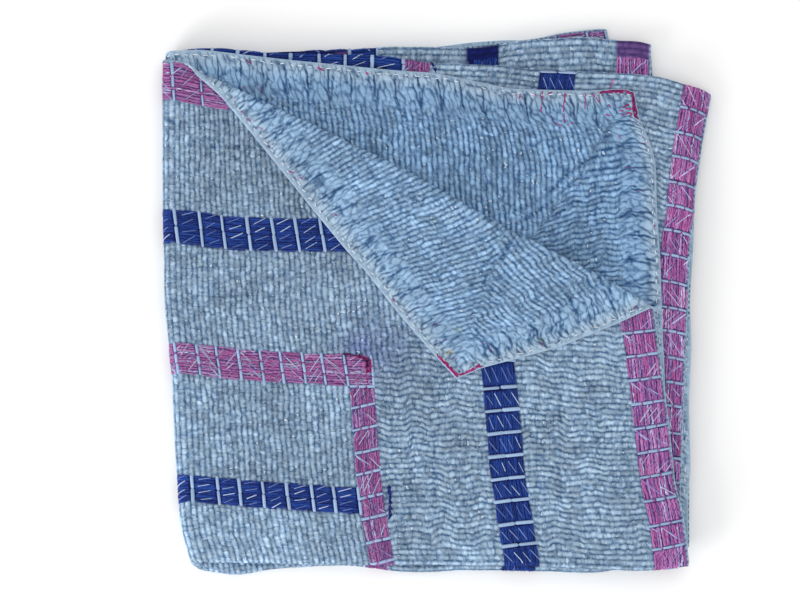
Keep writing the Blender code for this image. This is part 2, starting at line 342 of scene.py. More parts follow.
def hemDistances(s, t):
    return np.minimum(s, clothWidth - s), np.minimum(t, clothLength - t)


def rowsRunAcross(s, t):
    a, b = hemDistances(s, t)
    return (a < quilting["turnAt"]) & (b > a)


def acrossShare(s, t):  # the same, turning smoothly from 0 to 1
    a, b = hemDistances(s, t)
    return smoothStep(-0.006, 0.006, b - a) * (1 - smoothStep(-0.005, 0.005, a - quilting["turnAt"]))


def rowNoise(row, along, cell, seed):  # random along each row and unlike the rows beside it
    grid = np.random.default_rng(seed).uniform(-1, 1, (256, 512))
    place = along / cell + 40 * (1 + grid[row % 256, 0])
    k = np.floor(place).astype(int)
    share = place - k
    share = share * share * (3 - 2 * share)
    return grid[row % 256, k % 512] * (1 - share) + grid[row % 256, (k + 1) % 512] * share


def cracks(x, y, cell, seed):  # 0 on the lines of an uneven net, 1 well inside its cells
    jitter = np.random.default_rng(seed).uniform(0.1, 0.9, (64, 64, 2))
    u, v = x / cell, y / cell
    i, j = np.floor(u).astype(int), np.floor(v).astype(int)
    near = np.full(u.shape + (9,), 9.0)
    for k in range(9):
        ci, cj = i + k // 3 - 1, j + k % 3 - 1
        near[..., k] = np.hypot(ci + jitter[ci % 64, cj % 64, 0] - u, cj + jitter[ci % 64, cj % 64, 1] - v)
    near.sort(axis=-1)
    return smoothStep(0, 0.32, near[..., 1] - near[..., 0])


# Embroidered bands, as distances from the side hem (a) and the end hem (b)

bands = {  # colour, nearest and farthest from their hem, start, pitch, one gap, and lean of the gaps
    "upright": {
        "top": [("magenta", 0.0015, 0.0385, 0.042, 0.0272, 0.2967, 0.10),
                ("navy", 0.1695, 0.2090, 0.312, 0.0247, 0.3443, 0.14),
                ("magenta", 0.333, 0.361, 0.3435, 0.0246, 0.3645, 0.22)],
        "under": [("magenta", 0.001, 0.0305, 0.042, 0.0284, 1.0500, 0.02),
                  ("navy", 0.142, 0.1785, 0.196, 0.0260, 1.0480, 0.0),
                  ("magenta", 0.290, 0.317, 0.340, 0.0250, 1.0600, 0.0)],
        "left": [("magenta", 0.0015, 0.040, 0.042, 0.0272, 1.0700, 0.0),
                 ("navy", 0.1764, 0.215, 0.196, 0.0260, 1.0500, 0.0),
                 ("magenta", 0.343, 0.368, 0.340, 0.0250, 1.0500, 0.0)],
    },
    "level": [("magenta", 0.0015, 0.042, 0.0015, 0.0375, 0.5129, -0.06),
              ("navy", 0.159, 0.196, 0.172, 0.0284, 0.3500, -0.10),
              ("magenta", 0.310, 0.3435, 0.333, 0.0241, 0.3640, -0.05),
              ("navy", 0.4545, 0.4840, 0.361, 0.0265, 0.3880, -0.02),
              ("magenta", 0.599, 0.631, 0.361, 0.026, 0.388, 0.0),
              ("navy", 0.753, 0.785, 0.361, 0.026, 0.388, 0.0),
              ("magenta", 0.907, 0.939, 0.361, 0.026, 0.388, 0.0),
              ("navy", 1.0605, 1.1005, 0.317, 0.0274, 0.3486, 0.0)],
    "rise": {0.310: -0.034, 0.4545: -0.049},  # of the level bands that aren't parallel to the end hem
    "gap": 0.0042,
    "row": 0.0019,  # from one float to the next
    "tickPitch": 0.0262,
}


def quadrantNames(s, t):
    return np.where(s < clothWidth / 2, np.where(t < clothLength / 2, "top", "under"), "left")


def inBand(s, t, colour):  # 1 on a band of this colour, fading over its edge
    a, b = hemDistances(s, t)
    share = np.zeros_like(a)
    names = quadrantNames(s, t)
    for name, rows in bands["upright"].items():
        for kind, low, high, start, *_ in rows:
            if kind == colour:
                edge = np.minimum(np.minimum(a - low, high - a), b - start)
                share = np.maximum(share, smoothStep(-0.0006, 0.0006, edge) * (names == name))
    for kind, low, high, start, *_ in bands["level"]:
        if kind == colour:
            risen = b - bands["rise"].get(low, 0.0) * (a - start)
            edge = np.minimum(np.minimum(risen - low, high - risen), a - start)
            share = np.maximum(share, smoothStep(-0.0006, 0.0006, edge))
    return share


puckers = {  # along the hems of the back, heights in mm
    "ends": 0.005,  # how unevenly the border ends
    "sway": 0.08,  # of the lines of ticks
    "flapTicks": 0.7,  # how deep they are there
    "cell": 0.0084,
    "long": 1.2,
    "short": 0.62,
    "warp": 0.0045,
    "net": 0.85,
    "base": 0.50,
    "lumps": 0.30,
    "tick": 0.6,
    "vee": 0.45,
    "stitched": 0.5,
    "strip": 0.25,
}


def lumpsAt(s, t):  # slow unevenness of the cloth
    return softNoise(s, t, 0.034, 21) + 0.5 * softNoise(s, t, 0.014, 22)


def borderRelief(s, t, bead):  # how far the border takes the place of the rows, its height and its share of the colour, lower along its creases, ticks and stitches as painted shade
    a, b = hemDistances(s, t)
    nearest, atEnd = np.minimum(a, b), b < a
    edge = nearest - quilting["border"] + puckers["ends"] * softNoise(s, t, 0.012, 57)
    border = 1 - smoothStep(-0.005, 0.003, edge)
    q = np.where(atEnd, s, t) / bands["tickPitch"] + puckers["sway"] * softNoise(s, t, 0.02, 58)
    besideTick = np.abs(q - np.round(q))
    tick = (1 - smoothStep(0.015, 0.06, besideTick)) * smoothStep(0.005, 0.008, nearest)
    tick = tick * smoothStep(-0.95, -0.2, softNoise(s, t, 0.007, 64))
    tick = tick * np.where(t < clothLength / 2, puckers["flapTicks"], 1.0)
    vee = np.abs(besideTick - 0.36 * (1 - nearest / quilting["border"]))
    vee = (1 - smoothStep(0.015, 0.07, vee)) * smoothStep(0.008, 0.013, nearest)
    vee = vee * smoothStep(-0.3, 0.2, softNoise(s, t, 0.013, 62))
    warp = puckers["warp"] * softNoise(s, t, 0.010, 63)
    x = s * np.where(atEnd, puckers["long"], puckers["short"]) + warp
    y = t * np.where(atEnd, puckers["short"], puckers["long"]) + warp
    net = cracks(x, y, puckers["cell"], 59)
    stitched = np.exp(-((nearest - hemStitches["from"]) / 0.0012) ** 2)
    wide = np.where(t > clothLength / 2, 0.0016, np.where(atEnd, 0.0045, 0.0026))
    strip = 1 - smoothStep(-0.001, 0.0015, nearest - wide + 0.0015 * softNoise(s, t, 0.01, 61))
    puff = puckers["net"] * net * (1 - strip) - puckers["base"]
    puff = puff + puckers["lumps"] * softNoise(s, t, 0.006, 60)
    puff = mm * (puff - puckers["tick"] * tick - puckers["vee"] * vee - puckers["stitched"] * stitched)
    puff = puff + puckers["strip"] * mm * strip
    creaseShade = np.clip(0.18 + 0.70 * net + 0.16 * bead - 0.9 * tick - 0.6 * vee, 0, 1)
    creaseShade = creaseShade * (1 - strip) + (0.70 + 0.2 * bead) * strip
    return border, puff, creaseShade - 0.25 * stitched


def clothRelief(i, j, side):  # height over the plain sheet at mesh line i across and j along, and its share of the colour, low in the valleys and at the ties where painted shade darkens them
    s, t = sAt[i], tAt[j]
    across = rowsRunAcross(s, t)
    step, along = np.where(across, j, i), np.where(across, i, j)
    place, row = step % rowSteps, step // rowSteps  # place is 0 in the valley, 2 and 3 on the ridge
    bead = rowNoise(row, along, quilting["beadSteps"], 51 + side)
    turn = 2 * math.pi * (along / quilting["crossSteps"] + 1.4 * softNoise(s, t, 0.02, 53) + 3.1 * row)
    bead = 0.7 * bead + 0.3 * np.cos(turn)
    pinch = rowNoise(nearestValley(step), along, quilting["beadSteps"], 55 + side)
    crest = quilting["ridge"] * (0.5 + 1.1 * bead)
    trough = quilting["valley"] * (0.65 + 0.7 * pinch)
    onCrest, inTrough = (place == 2) | (place == 3), place == 0
    height = np.where(onCrest, crest, np.where(inTrough, -trough, quilting["shoulder"] * crest))
    height = height * (0.8 + 0.3 * softNoise(s, t, 0.024, 11 + side))
    shares = np.where(inTrough, 0.17 + 0.42 * pinch, 0.44 + 0.35 * bead)
    shares = np.where(onCrest, 0.74 + 0.50 * bead, shares)
    a, b = hemDistances(s, t)
    mitre = np.exp(-((a - b) / 0.005) ** 2) * (a < quilting["turnAt"]) * (a > 0.05)
    height = height * (1 - 0.6 * mitre) + quilting["mitrePucker"] * mitre * (0.5 + 0.5 * bead)
    shares = shares + 0.3 * mitre * (0.5 - shares)
    if side > 0:
        flat = inBand(s, t, "magenta") + inBand(s, t, "navy")
        height = height * (1 - flat) - 0.3 * mm * flat
        shares = 0.50 + (shares - 0.5) * np.where(across, 0.84, 0.76)
    else:
        border, puff, creaseShade = borderRelief(s, t, bead)
        height = height * (1 - border) + puff * border
        shares = shares * (1 - border) + creaseShade * border
    return height + quilting["lump"] * lumpsAt(s, t), np.clip(shares, 0, 1)


def wobbled(i, j):  # the cloth's own place of a mesh point, moved sideways so that the rows wander
    s, t = sAt[i], tAt[j]
    calm = smoothStep(0, 0.012, np.minimum(*hemDistances(s, t)))
    calm = calm * smoothStep(0, 0.02, np.abs(s - fold["halfWidth"] - fold["foldLength"] / 2) - 0.02)
    for k in (1, 3, 5):
        calm = calm * smoothStep(0, 0.02, np.abs(t - (alongBreaks[k] + alongBreaks[k + 1]) / 2) - 0.01)
    across = acrossShare(s, t)
    long, short = quilting["zigzag"]["along"]
    ds = (long * softNoise(s * 0.25, t, 0.016, 33) + short * softNoise(s * 0.5, t, 0.006, 35)) * (1 - across)
    long, short = quilting["zigzag"]["across"]
    dt = (long * softNoise(s, t * 0.25, 0.016, 34) + short * softNoise(s, t * 0.5, 0.006, 36)) * across
    ds += quilting["jitter"] * rowNoise(nearestValley(i), j, 3.2, 71) * (1 - across)
    dt += quilting["jitter"] * rowNoise(nearestValley(j), i, 3.2, 72) * across
    ds = (ds + quilting["drift"] * softNoise(s, t, 0.03, 31)) * calm
    dt = (dt + quilting["drift"] * softNoise(s, t, 0.03, 32)) * calm
    b = clothLength - t
    fan = np.minimum(s * s / np.maximum(b, mm), b) * smoothStep(0.04, 0.12, b)
    fan = fan * (1 - smoothStep(0.22, 0.34, s)) * (1 - smoothStep(0.26, 0.40, b))
    return s + ds, t + dt - quilting["fan"] * fan


# Quadrants, where "corner" is the back of the layer under the top one and "flap" the turned-back corner:
# face or back, and whether it is at the far end of the cloth
looseHome = {"corner": (-1, True), "flap": (-1, False), "top": (1, False), "under": (1, True)}

# Main creases, by quadrant: points as distances from the side hem and the end hem, and half
# width and height in mm, where a trough is below 0
creases = {
    "corner": [
        ([(0.164, 0.144), (0.125, 0.122), (0.103, 0.100), (0.079, 0.083), (0.047, 0.068)], 1.5, -1.2),
        ([(0.168, 0.162), (0.141, 0.144), (0.118, 0.128), (0.097, 0.107), (0.072, 0.093), (0.044, 0.089)],
         1.6, -1.3),
        ([(0.166, 0.153), (0.133, 0.133), (0.110, 0.114), (0.087, 0.095), (0.060, 0.081)], 4.5, 0.9),
        ([(0.120, 0.148), (0.095, 0.131), (0.070, 0.120), (0.040, 0.114)], 1.3, -0.9),
        ([(0.070, 0.096), (0.071, 0.130), (0.070, 0.172)], 1.4, -0.6),
        ([(0.039, 0.065), (0.041, 0.100), (0.043, 0.143)], 1.6, -0.8),
        ([(0.215, 0.055), (0.205, 0.085), (0.214, 0.105)], 1.5, -0.6),
    ],
    "flap": [
        ([(0.118, 0.006), (0.120, 0.025), (0.120, 0.047)], 1.2, -1.1),
        ([(0.088, 0.029), (0.090, 0.042), (0.089, 0.055), (0.091, 0.064)], 1.2, -1.1),
        ([(0.079, 0.006), (0.084, 0.012), (0.085, 0.024), (0.088, 0.029)], 1.1, -1.0),
        ([(0.052, 0.026), (0.052, 0.036), (0.045, 0.035), (0.043, 0.046), (0.046, 0.053), (0.041, 0.057),
          (0.029, 0.056)], 1.1, -1.1),
        ([(0.029, 0.058), (0.016, 0.057), (0.005, 0.055), (0.001, 0.050)], 1.1, -1.0),
        ([(0.012, 0.035), (0.022, 0.064)], 0.9, -0.6),
        ([(0.022, 0.028), (0.036, 0.040), (0.062, 0.030)], 9.0, 0.6),
        ([(0.055, 0.015), (0.047, 0.014), (0.038, 0.012), (0.028, 0.011)], 1.0, -0.9),
        ([(0.023, 0.0085), (0.014, 0.0075), (0.004, 0.0075)], 1.0, -1.0),
        ([(0.110, 0.104), (0.122, 0.116), (0.127, 0.123), (0.131, 0.140), (0.143, 0.160)], 1.4, -1.1),
        ([(0.125, 0.110), (0.134, 0.121), (0.139, 0.144), (0.143, 0.157)], 1.2, -0.9),
        ([(0.414, 0.016), (0.411, 0.026), (0.407, 0.037)], 1.3, -1.0),
        ([(0.302, 0.0085), (0.303, 0.019), (0.301, 0.034)], 1.3, -1.0),
        ([(0.451, 0.010), (0.449, 0.017), (0.442, 0.025), (0.431, 0.030)], 1.2, -0.9),
        ([(0.36, 0.012), (0.33, 0.020), (0.30, 0.017), (0.27, 0.023), (0.24, 0.018)], 1.2, -0.8),
        ([(0.22, 0.016), (0.19, 0.021), (0.165, 0.018), (0.14, 0.024)], 1.2, -0.7),
        ([(0.037, 0.202), (0.025, 0.201), (0.012, 0.199), (0.004, 0.198)], 1.5, -1.7),
        ([(0.038, 0.173), (0.023, 0.172), (0.014, 0.169), (0.004, 0.167)], 1.5, -1.7),
        ([(0.042, 0.147), (0.026, 0.139), (0.015, 0.138), (0.004, 0.136)], 1.4, -1.5),
        ([(0.037, 0.110), (0.020, 0.110), (0.009, 0.109), (0.004, 0.107)], 1.4, -1.6),
        ([(0.026, 0.079), (0.015, 0.082), (0.007, 0.081), (0.003, 0.083)], 1.3, -1.4),
        ([(0.033, 0.056), (0.020, 0.059), (0.008, 0.055), (0.003, 0.056)], 1.3, -1.4),
        ([(0.057, 0.192), (0.040, 0.189), (0.028, 0.191)], 1.3, -1.2),
        ([(0.056, 0.167), (0.035, 0.160), (0.029, 0.160)], 1.3, -1.2),
    ],
    "top": [
        ([(0.554, 0.065), (0.515, 0.060), (0.473, 0.052)], 1.6, -0.5),
        ([(0.557, 0.092), (0.500, 0.084), (0.444, 0.079)], 1.6, -0.6),
        ([(0.557, 0.257), (0.515, 0.250), (0.466, 0.245)], 1.6, -0.5),
        ([(0.557, 0.397), (0.490, 0.391), (0.421, 0.386)], 1.6, -0.5),
        ([(0.267, 0.391), (0.274, 0.446), (0.277, 0.490)], 2.0, -0.5),
        ([(0.294, 0.391), (0.300, 0.446), (0.304, 0.490)], 2.0, -0.5),
        ([(0.121, 0.347), (0.126, 0.397), (0.133, 0.464)], 1.7, -0.6),
        ([(0.079, 0.348), (0.083, 0.393), (0.086, 0.427)], 1.7, -0.6),
        ([(0.150, 0.354), (0.153, 0.399), (0.157, 0.465)], 1.7, -0.4),
    ],
}


def creaseRelief(s, t, side):  # height of the creases, and how far they smooth the rows or darken them with painted shade in their troughs
    height, smooth, troughShade = np.zeros_like(s), np.zeros_like(s), np.zeros_like(s)
    for home, points, width, depth in ((home, *row) for home, rows in creases.items() for row in rows):
        at, far = looseHome[home]
        if at != side:
            continue
        line = np.array([(a, clothLength - b if far else b) for a, b in points])
        low, high = line.min(axis=0) - 3 * width * mm, line.max(axis=0) + 3 * width * mm
        here = np.nonzero((s > low[0]) & (s < high[0]) & (t > low[1]) & (t < high[1]))[0]
        x, y = s[here], t[here]
        near = np.ones_like(x)
        for first, second in zip(line, line[1:]):
            run = second - first
            along = np.clip(((x - first[0]) * run[0] + (y - first[1]) * run[1]) / (run @ run), 0, 1)
            near = np.minimum(near, np.hypot(x - first[0] - along * run[0], y - first[1] - along * run[1]))
        near = near + 0.5 * width * mm * softNoise(x, y, 0.004, 82)
        share = np.exp(-(near / (width * mm)) ** 2) * (0.75 + 0.45 * softNoise(x, y, 0.011, 81))
        height[here] += depth * mm * share
        (smooth if depth > 0 else troughShade)[here] += share * min(1, abs(depth))
    return height, np.clip(smooth, 0, 1), np.clip(troughShade, 0, 1)


# Which parts of the cloth show from above, and so take the fine mesh

sight = {
    "cell": 0.005,
    "cells": 80,  # from the middle to each side
    "samples": 3,  # of a block, each way
    "slack": 2.2 * mm,
}


def sightCell(points):
    return tuple(np.floor(points[..., k] / sight["cell"]).astype(int) + sight["cells"] for k in (0, 1))


def heightsFromAbove():
    steps = np.arange(0.5, sight["samples"]) / sight["samples"] * blockSteps
    i = (np.arange(blockCount[0])[:, None] * blockSteps + steps).ravel()
    j = (np.arange(blockCount[1])[:, None] * blockSteps + steps).ravel()
    s = np.interp(i, np.arange(len(sAt)), sAt)[:, None]
    t = np.interp(j, np.arange(len(tAt)), tAt)[None, :]
    sides = {side: onCloth(s, t, side * fold["sheet"] / 2) for side in (1, -1)}
    tops = np.full((2 * sight["cells"], 2 * sight["cells"]), -1.0)
    for points in sides.values():
        np.maximum.at(tops, sightCell(points), points[..., 2])
    return sides, tops


def showsAt(points, tops):
    return points[..., 2] > tops[sightCell(points)] - sight["slack"]


def blocksThatShow(points, tops):
    n = sight["samples"]
    shows = showsAt(points, tops)
    return shows.reshape(blockCount[0], n, blockCount[1], n).any(axis=(1, 3))


# The cloth's mesh

def cellList(shown):  # lowest lines and spans of all mesh cells of one side, and the block of each
    bs, bt = np.meshgrid(np.arange(blockCount[0]), np.arange(blockCount[1]), indexing="ij")
    spanS, spanT = np.full(blockCount, blockSteps), np.full(blockCount, blockSteps)
    spanS[list(foldBlocks), :] = quilting["foldSpan"]
    for block, steps in creaseSteps.items():
        spanT[:, block] = steps
    middleS, middleT = sAt[bs * blockSteps + blockSteps // 2], tAt[bt * blockSteps + blockSteps // 2]
    across = rowsRunAcross(middleS, middleT)
    spanS = np.where(shown, np.where(across, 2, 1), spanS)
    spanT = np.where(shown, np.where(across, np.minimum(spanT, 1), np.minimum(spanT, 2)), spanT)
    rows = []
    for wide in np.unique(spanS):
        for long in np.unique(spanT):
            here = (spanS == wide) & (spanT == long)
            stepS, stepT = np.meshgrid(np.arange(0, blockSteps, wide), np.arange(0, blockSteps, long))
            i = bs[here][:, None] * blockSteps + stepS.ravel()
            j = bt[here][:, None] * blockSteps + stepT.ravel()
            cell = (i, j, np.full_like(i, wide), np.full_like(i, long))
            rows.append(np.stack([v.ravel() for v in cell], 1))
    return np.concatenate(rows)


def pointsOf(blocks):  # all mesh points of some blocks
    at = np.zeros((len(sAt), len(tAt)), bool)
    for i, j in blocks * blockSteps:
        at[i:i + blockSteps + 1, j:j + blockSteps + 1] = True
    return at


def usedPoints(cells):
    used = np.zeros((len(sAt), len(tAt)), bool)
    i, j, wide, long = cells.T
    for di, dj in ((0, 0), (1, 0), (0, 1), (1, 1)):
        used[i + di * wide, j + dj * long] = True
    return used


def sideFaces(cells, used, ids):  # quads, and polygons where a finer neighbour adds points
    countI, countJ = np.cumsum(used, axis=0), np.cumsum(used, axis=1)
    i, j, wide, long = cells.T
    extra = countI[i + wide, j] - countI[i, j] + countI[i + wide, j + long] - countI[i, j + long]
    extra += countJ[i, j + long] - countJ[i, j] + countJ[i + wide, j + long] - countJ[i + wide, j] - 4
    plain = extra == 0
    quads = np.stack([ids[i, j], ids[i + wide, j], ids[i + wide, j + long], ids[i, j + long]], 1)[plain]
    faces = quads.tolist()
    for i, j, wide, long in cells[~plain]:
        ring = [ids[i + k, j] for k in range(wide) if used[i + k, j]]
        ring += [ids[i + wide, j + k] for k in range(long) if used[i + wide, j + k]]
        ring += [ids[i + k, j + long] for k in range(wide, 0, -1) if used[i + k, j + long]]
        ring += [ids[i, j + k] for k in range(long, 0, -1) if used[i, j + k]]
        faces.append(ring)
    return faces


def rimPath(corners, used):  # used points on the outline of a piece of the sheet
    path = []
    for (i0, j0), (i1, j1) in zip(corners, corners[1:] + corners[:1]):
        steps = max(abs(i1 - i0), abs(j1 - j0))
        di, dj = np.sign(i1 - i0), np.sign(j1 - j0)
        path += [(i0 + di * k, j0 + dj * k) for k in range(steps) if used[i0 + di * k, j0 + dj * k]]
    return np.array(path)


def outwardAt(i, j):  # away from the sheet at a hem, and nothing at a seam inside the cloth
    middle = onCloth(sAt[i], tAt[j], 0.0)
    away = np.zeros_like(middle)
    last = (len(sAt) - 1, len(tAt) - 1)
    for onHem, di, dj in ((i == 0, 1, 0), (i == last[0], -1, 0), (j == 0, 0, 1), (j == last[1], 0, -1)):
        inner = onCloth(sAt[np.clip(i + di, 0, last[0])], tAt[np.clip(j + dj, 0, last[1])], 0.0)
        away += np.where(onHem[:, None], middle - inner, 0)
    length = np.linalg.norm(away, axis=1, keepdims=True)
    return away / np.maximum(length, 1e-9) * (length > 0)


def colourOf(*rgb):  # red, green and blue as on a screen, up to 255
    return np.array([v / 255 / 12.92 if v < 10 else ((v / 255 + 0.055) / 1.055) ** 2.4 for v in rgb])


def coloursOf(*rows):
    return [colourOf(*row) for row in rows]


dyesAndShade = {
    "face": colourOf(169, 193, 214),
    # painted shade: the back under the top layer is a darker copy of the flap's back, the same side of the
    # cloth
    "back": colourOf(146, 182, 216),  # where it is seen under the top layer
    "flap": colourOf(162, 196, 227),
    "hem": colourOf(188, 206, 219),
    "gap": colourOf(150, 176, 208),
    "navy": colourOf(14, 28, 100),
    "magenta": colourOf(112, 80, 140),
    "thread": colourOf(214, 228, 238),
    "white": colourOf(236, 240, 244),
    "tick": colourOf(44, 62, 112),
    "crimson": colourOf(150, 48, 110),
}

# Uneven fading and stains: side, cloth width and length of the centre, radius, colour and share
patches = [
    (1, 0.347, 0.302, 0.016, (84, 92, 164), 0.45),
    (1, 0.325, 0.301, 0.034, (112, 124, 186), 0.35),
    (-1, 0.036, 0.014, 0.0035, (196, 176, 92), 0.75),
    (-1, 0.060, 0.041, 0.0035, (170, 184, 130), 0.45),
    (-1, 0.015, 0.107, 0.0030, (176, 188, 110), 0.55),
]
# Lighter and darker areas: side, cloth width and length of the centre, radius and brightness; the six on the
# back at lengths from 1.981 to 2.116 are a painted shadow along the flap's turned edge
toneAndPaintedShadow = [
    (1, 0.49, 0.515, 0.060, 1.16), (1, 0.42, 0.533, 0.045, 1.12), (1, 0.555, 0.30, 0.030, 1.10),
    (1, 0.45, 0.085, 0.050, 0.80), (1, 0.40, 0.14, 0.045, 0.78), (1, 0.485, 0.155, 0.030, 0.85),
    (1, 0.30, 0.31, 0.050, 0.84), (1, 0.29, 0.35, 0.040, 0.88), (1, 0.225, 0.42, 0.035, 0.90),
    (1, 0.12, 0.46, 0.05, 1.05), (1, 0.45, 0.40, 0.06, 0.86), (-1, 0.14, 1.95, 0.07, 0.92),
    (-1, 0.37, 2.116, 0.026, 0.84), (-1, 0.31, 2.089, 0.026, 0.84), (-1, 0.25, 2.062, 0.026, 0.84),
    (-1, 0.19, 2.034, 0.026, 0.84), (-1, 0.13, 2.008, 0.026, 0.86), (-1, 0.09, 1.981, 0.026, 0.88),
    (1, 0.376, 0.200, 0.024, 0.88), (1, 0.350, 0.238, 0.024, 0.90),
]


# the cloth's colour: its dye and stains, with painted shade where listed
def clothDyeAndShade(s, t, side):
    a, b = hemDistances(s, t)
    # painted shade: the back under the top layer takes the darker, shaded copy of the flap's colour
    back = np.where((t < clothLength / 2)[..., None], dyesAndShade["flap"], dyesAndShade["back"])
    colour = np.where(side > 0, dyesAndShade["face"], back)
    patch = 1 + 0.12 * softNoise(s, t, 0.05, 41) + 0.09 * softNoise(s, t, 0.017, 42)
    # lighter and darker areas, among them a painted shadow on the back beside the flap's turned edge
    for at, cs, ct, radius, gain in toneAndPaintedShadow:
        if at == side:
            patch = patch * (1 + (gain - 1) * np.exp(-((s - cs) ** 2 + (t - ct) ** 2) / radius ** 2))
    colour = colour * patch[..., None]
    if side > 0:
        for kind in ("navy", "magenta"):
            share = inBand(s, t, kind)[..., None]
            colour = colour * (1 - share) + dyesAndShade[kind] * share
    else:
        strip = (1 - smoothStep(0.006, 0.022, np.minimum(a, b)))[..., None] * 0.6
        colour = colour * (1 - strip) + dyesAndShade["hem"] * strip
    for at, cs, ct, radius, tint, amount in patches:
        if at == side:
            share = amount * np.exp(-((s - cs) ** 2 + (t - ct) ** 2) / radius ** 2)[..., None]
            colour = colour * (1 - share) + colourOf(*tint) * share
    return colour


def plainShare(s, t, side):  # 1 where the cloth has no rows: under the bands, and at the back's hems
    if side > 0:
        return np.clip(inBand(s, t, "magenta") + inBand(s, t, "navy"), 0, 1)
    return 0.7 * (1 - smoothStep(-0.004, 0.002, np.minimum(*hemDistances(s, t)) - quilting["border"]))


rimDegrees = (52, 18, -18, -52)  # of the points between the face and the back of a hem


def clothPiece(name, keep, corners, cells, used, material):
    parts, faces, ids, start = [], [], {}, 0
    for side in (1, -1):
        mine = cells[side][keep(cells[side][:, 0] // blockSteps, cells[side][:, 1] // blockSteps)]
        here = used[side] & pointsOf(np.unique(mine[:, :2] // blockSteps, axis=0))
        i, j = np.nonzero(here)
        ids[side] = np.full(here.shape, -1)
        ids[side][i, j] = start + np.arange(len(i))
        start += len(i)
        faces += sideFaces(mine, here, ids[side])
        s, t = wobbled(i, j)
        fine = shownAt[side][i, j]
        relief, share = clothRelief(i, j, side)
        crease, smooth, troughShade = creaseRelief(s, t, side)
        relief = relief * (1 - 0.8 * smooth) + crease
        parts.append({
            "points": onCloth(s, t, side * (fold["sheet"] / 2 + relief * fine)),
            "rows": np.stack([i, j], 1) / rowSteps,
            "dye": clothDyeAndShade(s, t, side),
            "across": rowsRunAcross(sAt[i], tAt[j]).astype(float),
            "ridge": np.clip(share + 0.6 * smooth * (0.8 - share) - 0.6 * troughShade, 0, 1),
            "fine": fine.astype(float),
            "plain": plainShare(s, t, side),
        })
    whole = {key: np.concatenate([part[key] for part in parts]) for key in parts[0]}
    i, j = rimPath(corners, used[1] & used[-1]).T
    front, back = ids[1][i, j], ids[-1][i, j]
    first, second = whole["points"][front], whole["points"][back]
    middle, half = (first + second) / 2, (first - second) / 2
    away = outwardAt(i, j)
    rings = [front]
    for degrees in rimDegrees:
        turn = math.radians(degrees)
        bulge = away * quilting["rimBulge"] * math.cos(turn)
        parts.append({
            "points": middle + bulge + half * math.sin(turn),
            "rows": whole["rows"][front],
            "dye": whole["dye"][back],
            "across": whole["across"][front],
            "ridge": np.full(len(i), 0.8),
            "fine": np.ones(len(i)),
            "plain": np.ones(len(i)),
        })
        rings.append(start + np.arange(len(i)))
        start += len(i)
    rings.append(back)
    for first, second in zip(rings, rings[1:]):
        faces += np.stack([first, np.roll(first, -1), np.roll(second, -1), second], 1).tolist()
    whole = {key: np.concatenate([part[key] for part in parts]) for key in parts[0]}
    shares = {key: whole[key] for key in ("across", "ridge", "fine", "plain")}
    return meshPiece(name, whole["points"], faces, whole["rows"], whole["dye"], shares, material)


def meshPiece(name, points, faces, rows, colours, shares, material):
    mesh = bpy.data.meshes.new(name)
    mesh.from_pydata(points, [], faces)
    mesh.update()
    layer = mesh.uv_layers.new(name="rows")
    corner = np.empty(len(mesh.loops), int)
    mesh.loops.foreach_get("vertex_index", corner)
    layer.data.foreach_set("uv", rows[corner].astype(np.float32).ravel())
    dye = mesh.attributes.new("dye", "FLOAT_COLOR", "POINT")
    dye.data.foreach_set("color", np.c_[colours, np.ones(len(colours))].astype(np.float32).ravel())
    for label, values in shares.items():
        share = mesh.attributes.new(label, "FLOAT", "POINT")
        share.data.foreach_set("value", values.astype(np.float32))
    mesh.polygons.foreach_set("use_smooth", np.ones(len(mesh.polygons), bool))
    mesh.materials.append(material)
    piece = bpy.data.objects.new(name, mesh)
    bpy.context.scene.collection.objects.link(piece)
    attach(piece, "root")
    return piece


def faceOutward(piece):
    mesh = bmesh.new()
    mesh.from_mesh(piece.data)
    bmesh.ops.recalc_face_normals(mesh, faces=mesh.faces)
    mesh.to_mesh(piece.data)
    mesh.free()


# Materials

def addNode(tree, kind, links=None, **settings):
    node = tree.nodes.new(kind)
    for key, value in settings.items():
        setattr(node, key, value)
    for key, value in (links or {}).items():
        if hasattr(value, "is_linked"):
            tree.links.new(value, node.inputs[key])
        else:
            node.inputs[key].default_value = value
    return node


def calc(tree, operation, *values):
    return addNode(tree, "ShaderNodeMath", dict(enumerate(values)), operation=operation).outputs[0]


def vectorCalc(tree, operation, links):
    return addNode(tree, "ShaderNodeVectorMath", links, operation=operation).outputs[0]


def attribute(tree, name, output="Fac"):
    return addNode(tree, "ShaderNodeAttribute", attribute_name=name).outputs[output]


def noise(tree, vector, scale, detail, output="Fac", roughness=0.5):
    links = {"Vector": vector, "Scale": scale, "Detail": detail, "Roughness": roughness}
    return addNode(tree, "ShaderNodeTexNoise", links).outputs[output]


def mapped(tree, value, *ends):  # from two values, to two values
    return addNode(tree, "ShaderNodeMapRange", dict(enumerate((value, *ends)))).outputs[0]


def mixed(tree, share, low, high):
    return addNode(tree, "ShaderNodeMix", {0: share, 2: low, 3: high}, data_type="FLOAT").outputs[0]


def mixedColour(tree, share, low, high):
    return addNode(tree, "ShaderNodeMix", {0: share, 6: low, 7: high}, data_type="RGBA").outputs[2]


def newMaterial(name):
    material = bpy.data.materials.new(name)
    material.use_nodes = True
    tree = material.node_tree
    return material, tree, tree.nodes["Principled BSDF"]


def finishMaterial(tree, shader, colour, height, look):
    tree.links.new(colour, shader.inputs["Base Color"])
    links = {"Height": height, "Strength": look["bumpStrength"], "Distance": look["bump"]}
    tree.links.new(addNode(tree, "ShaderNodeBump", links).outputs[0], shader.inputs["Normal"])
    shader.inputs["Roughness"].default_value = look["roughness"]
    shader.inputs["Specular IOR Level"].default_value = look["specular"]


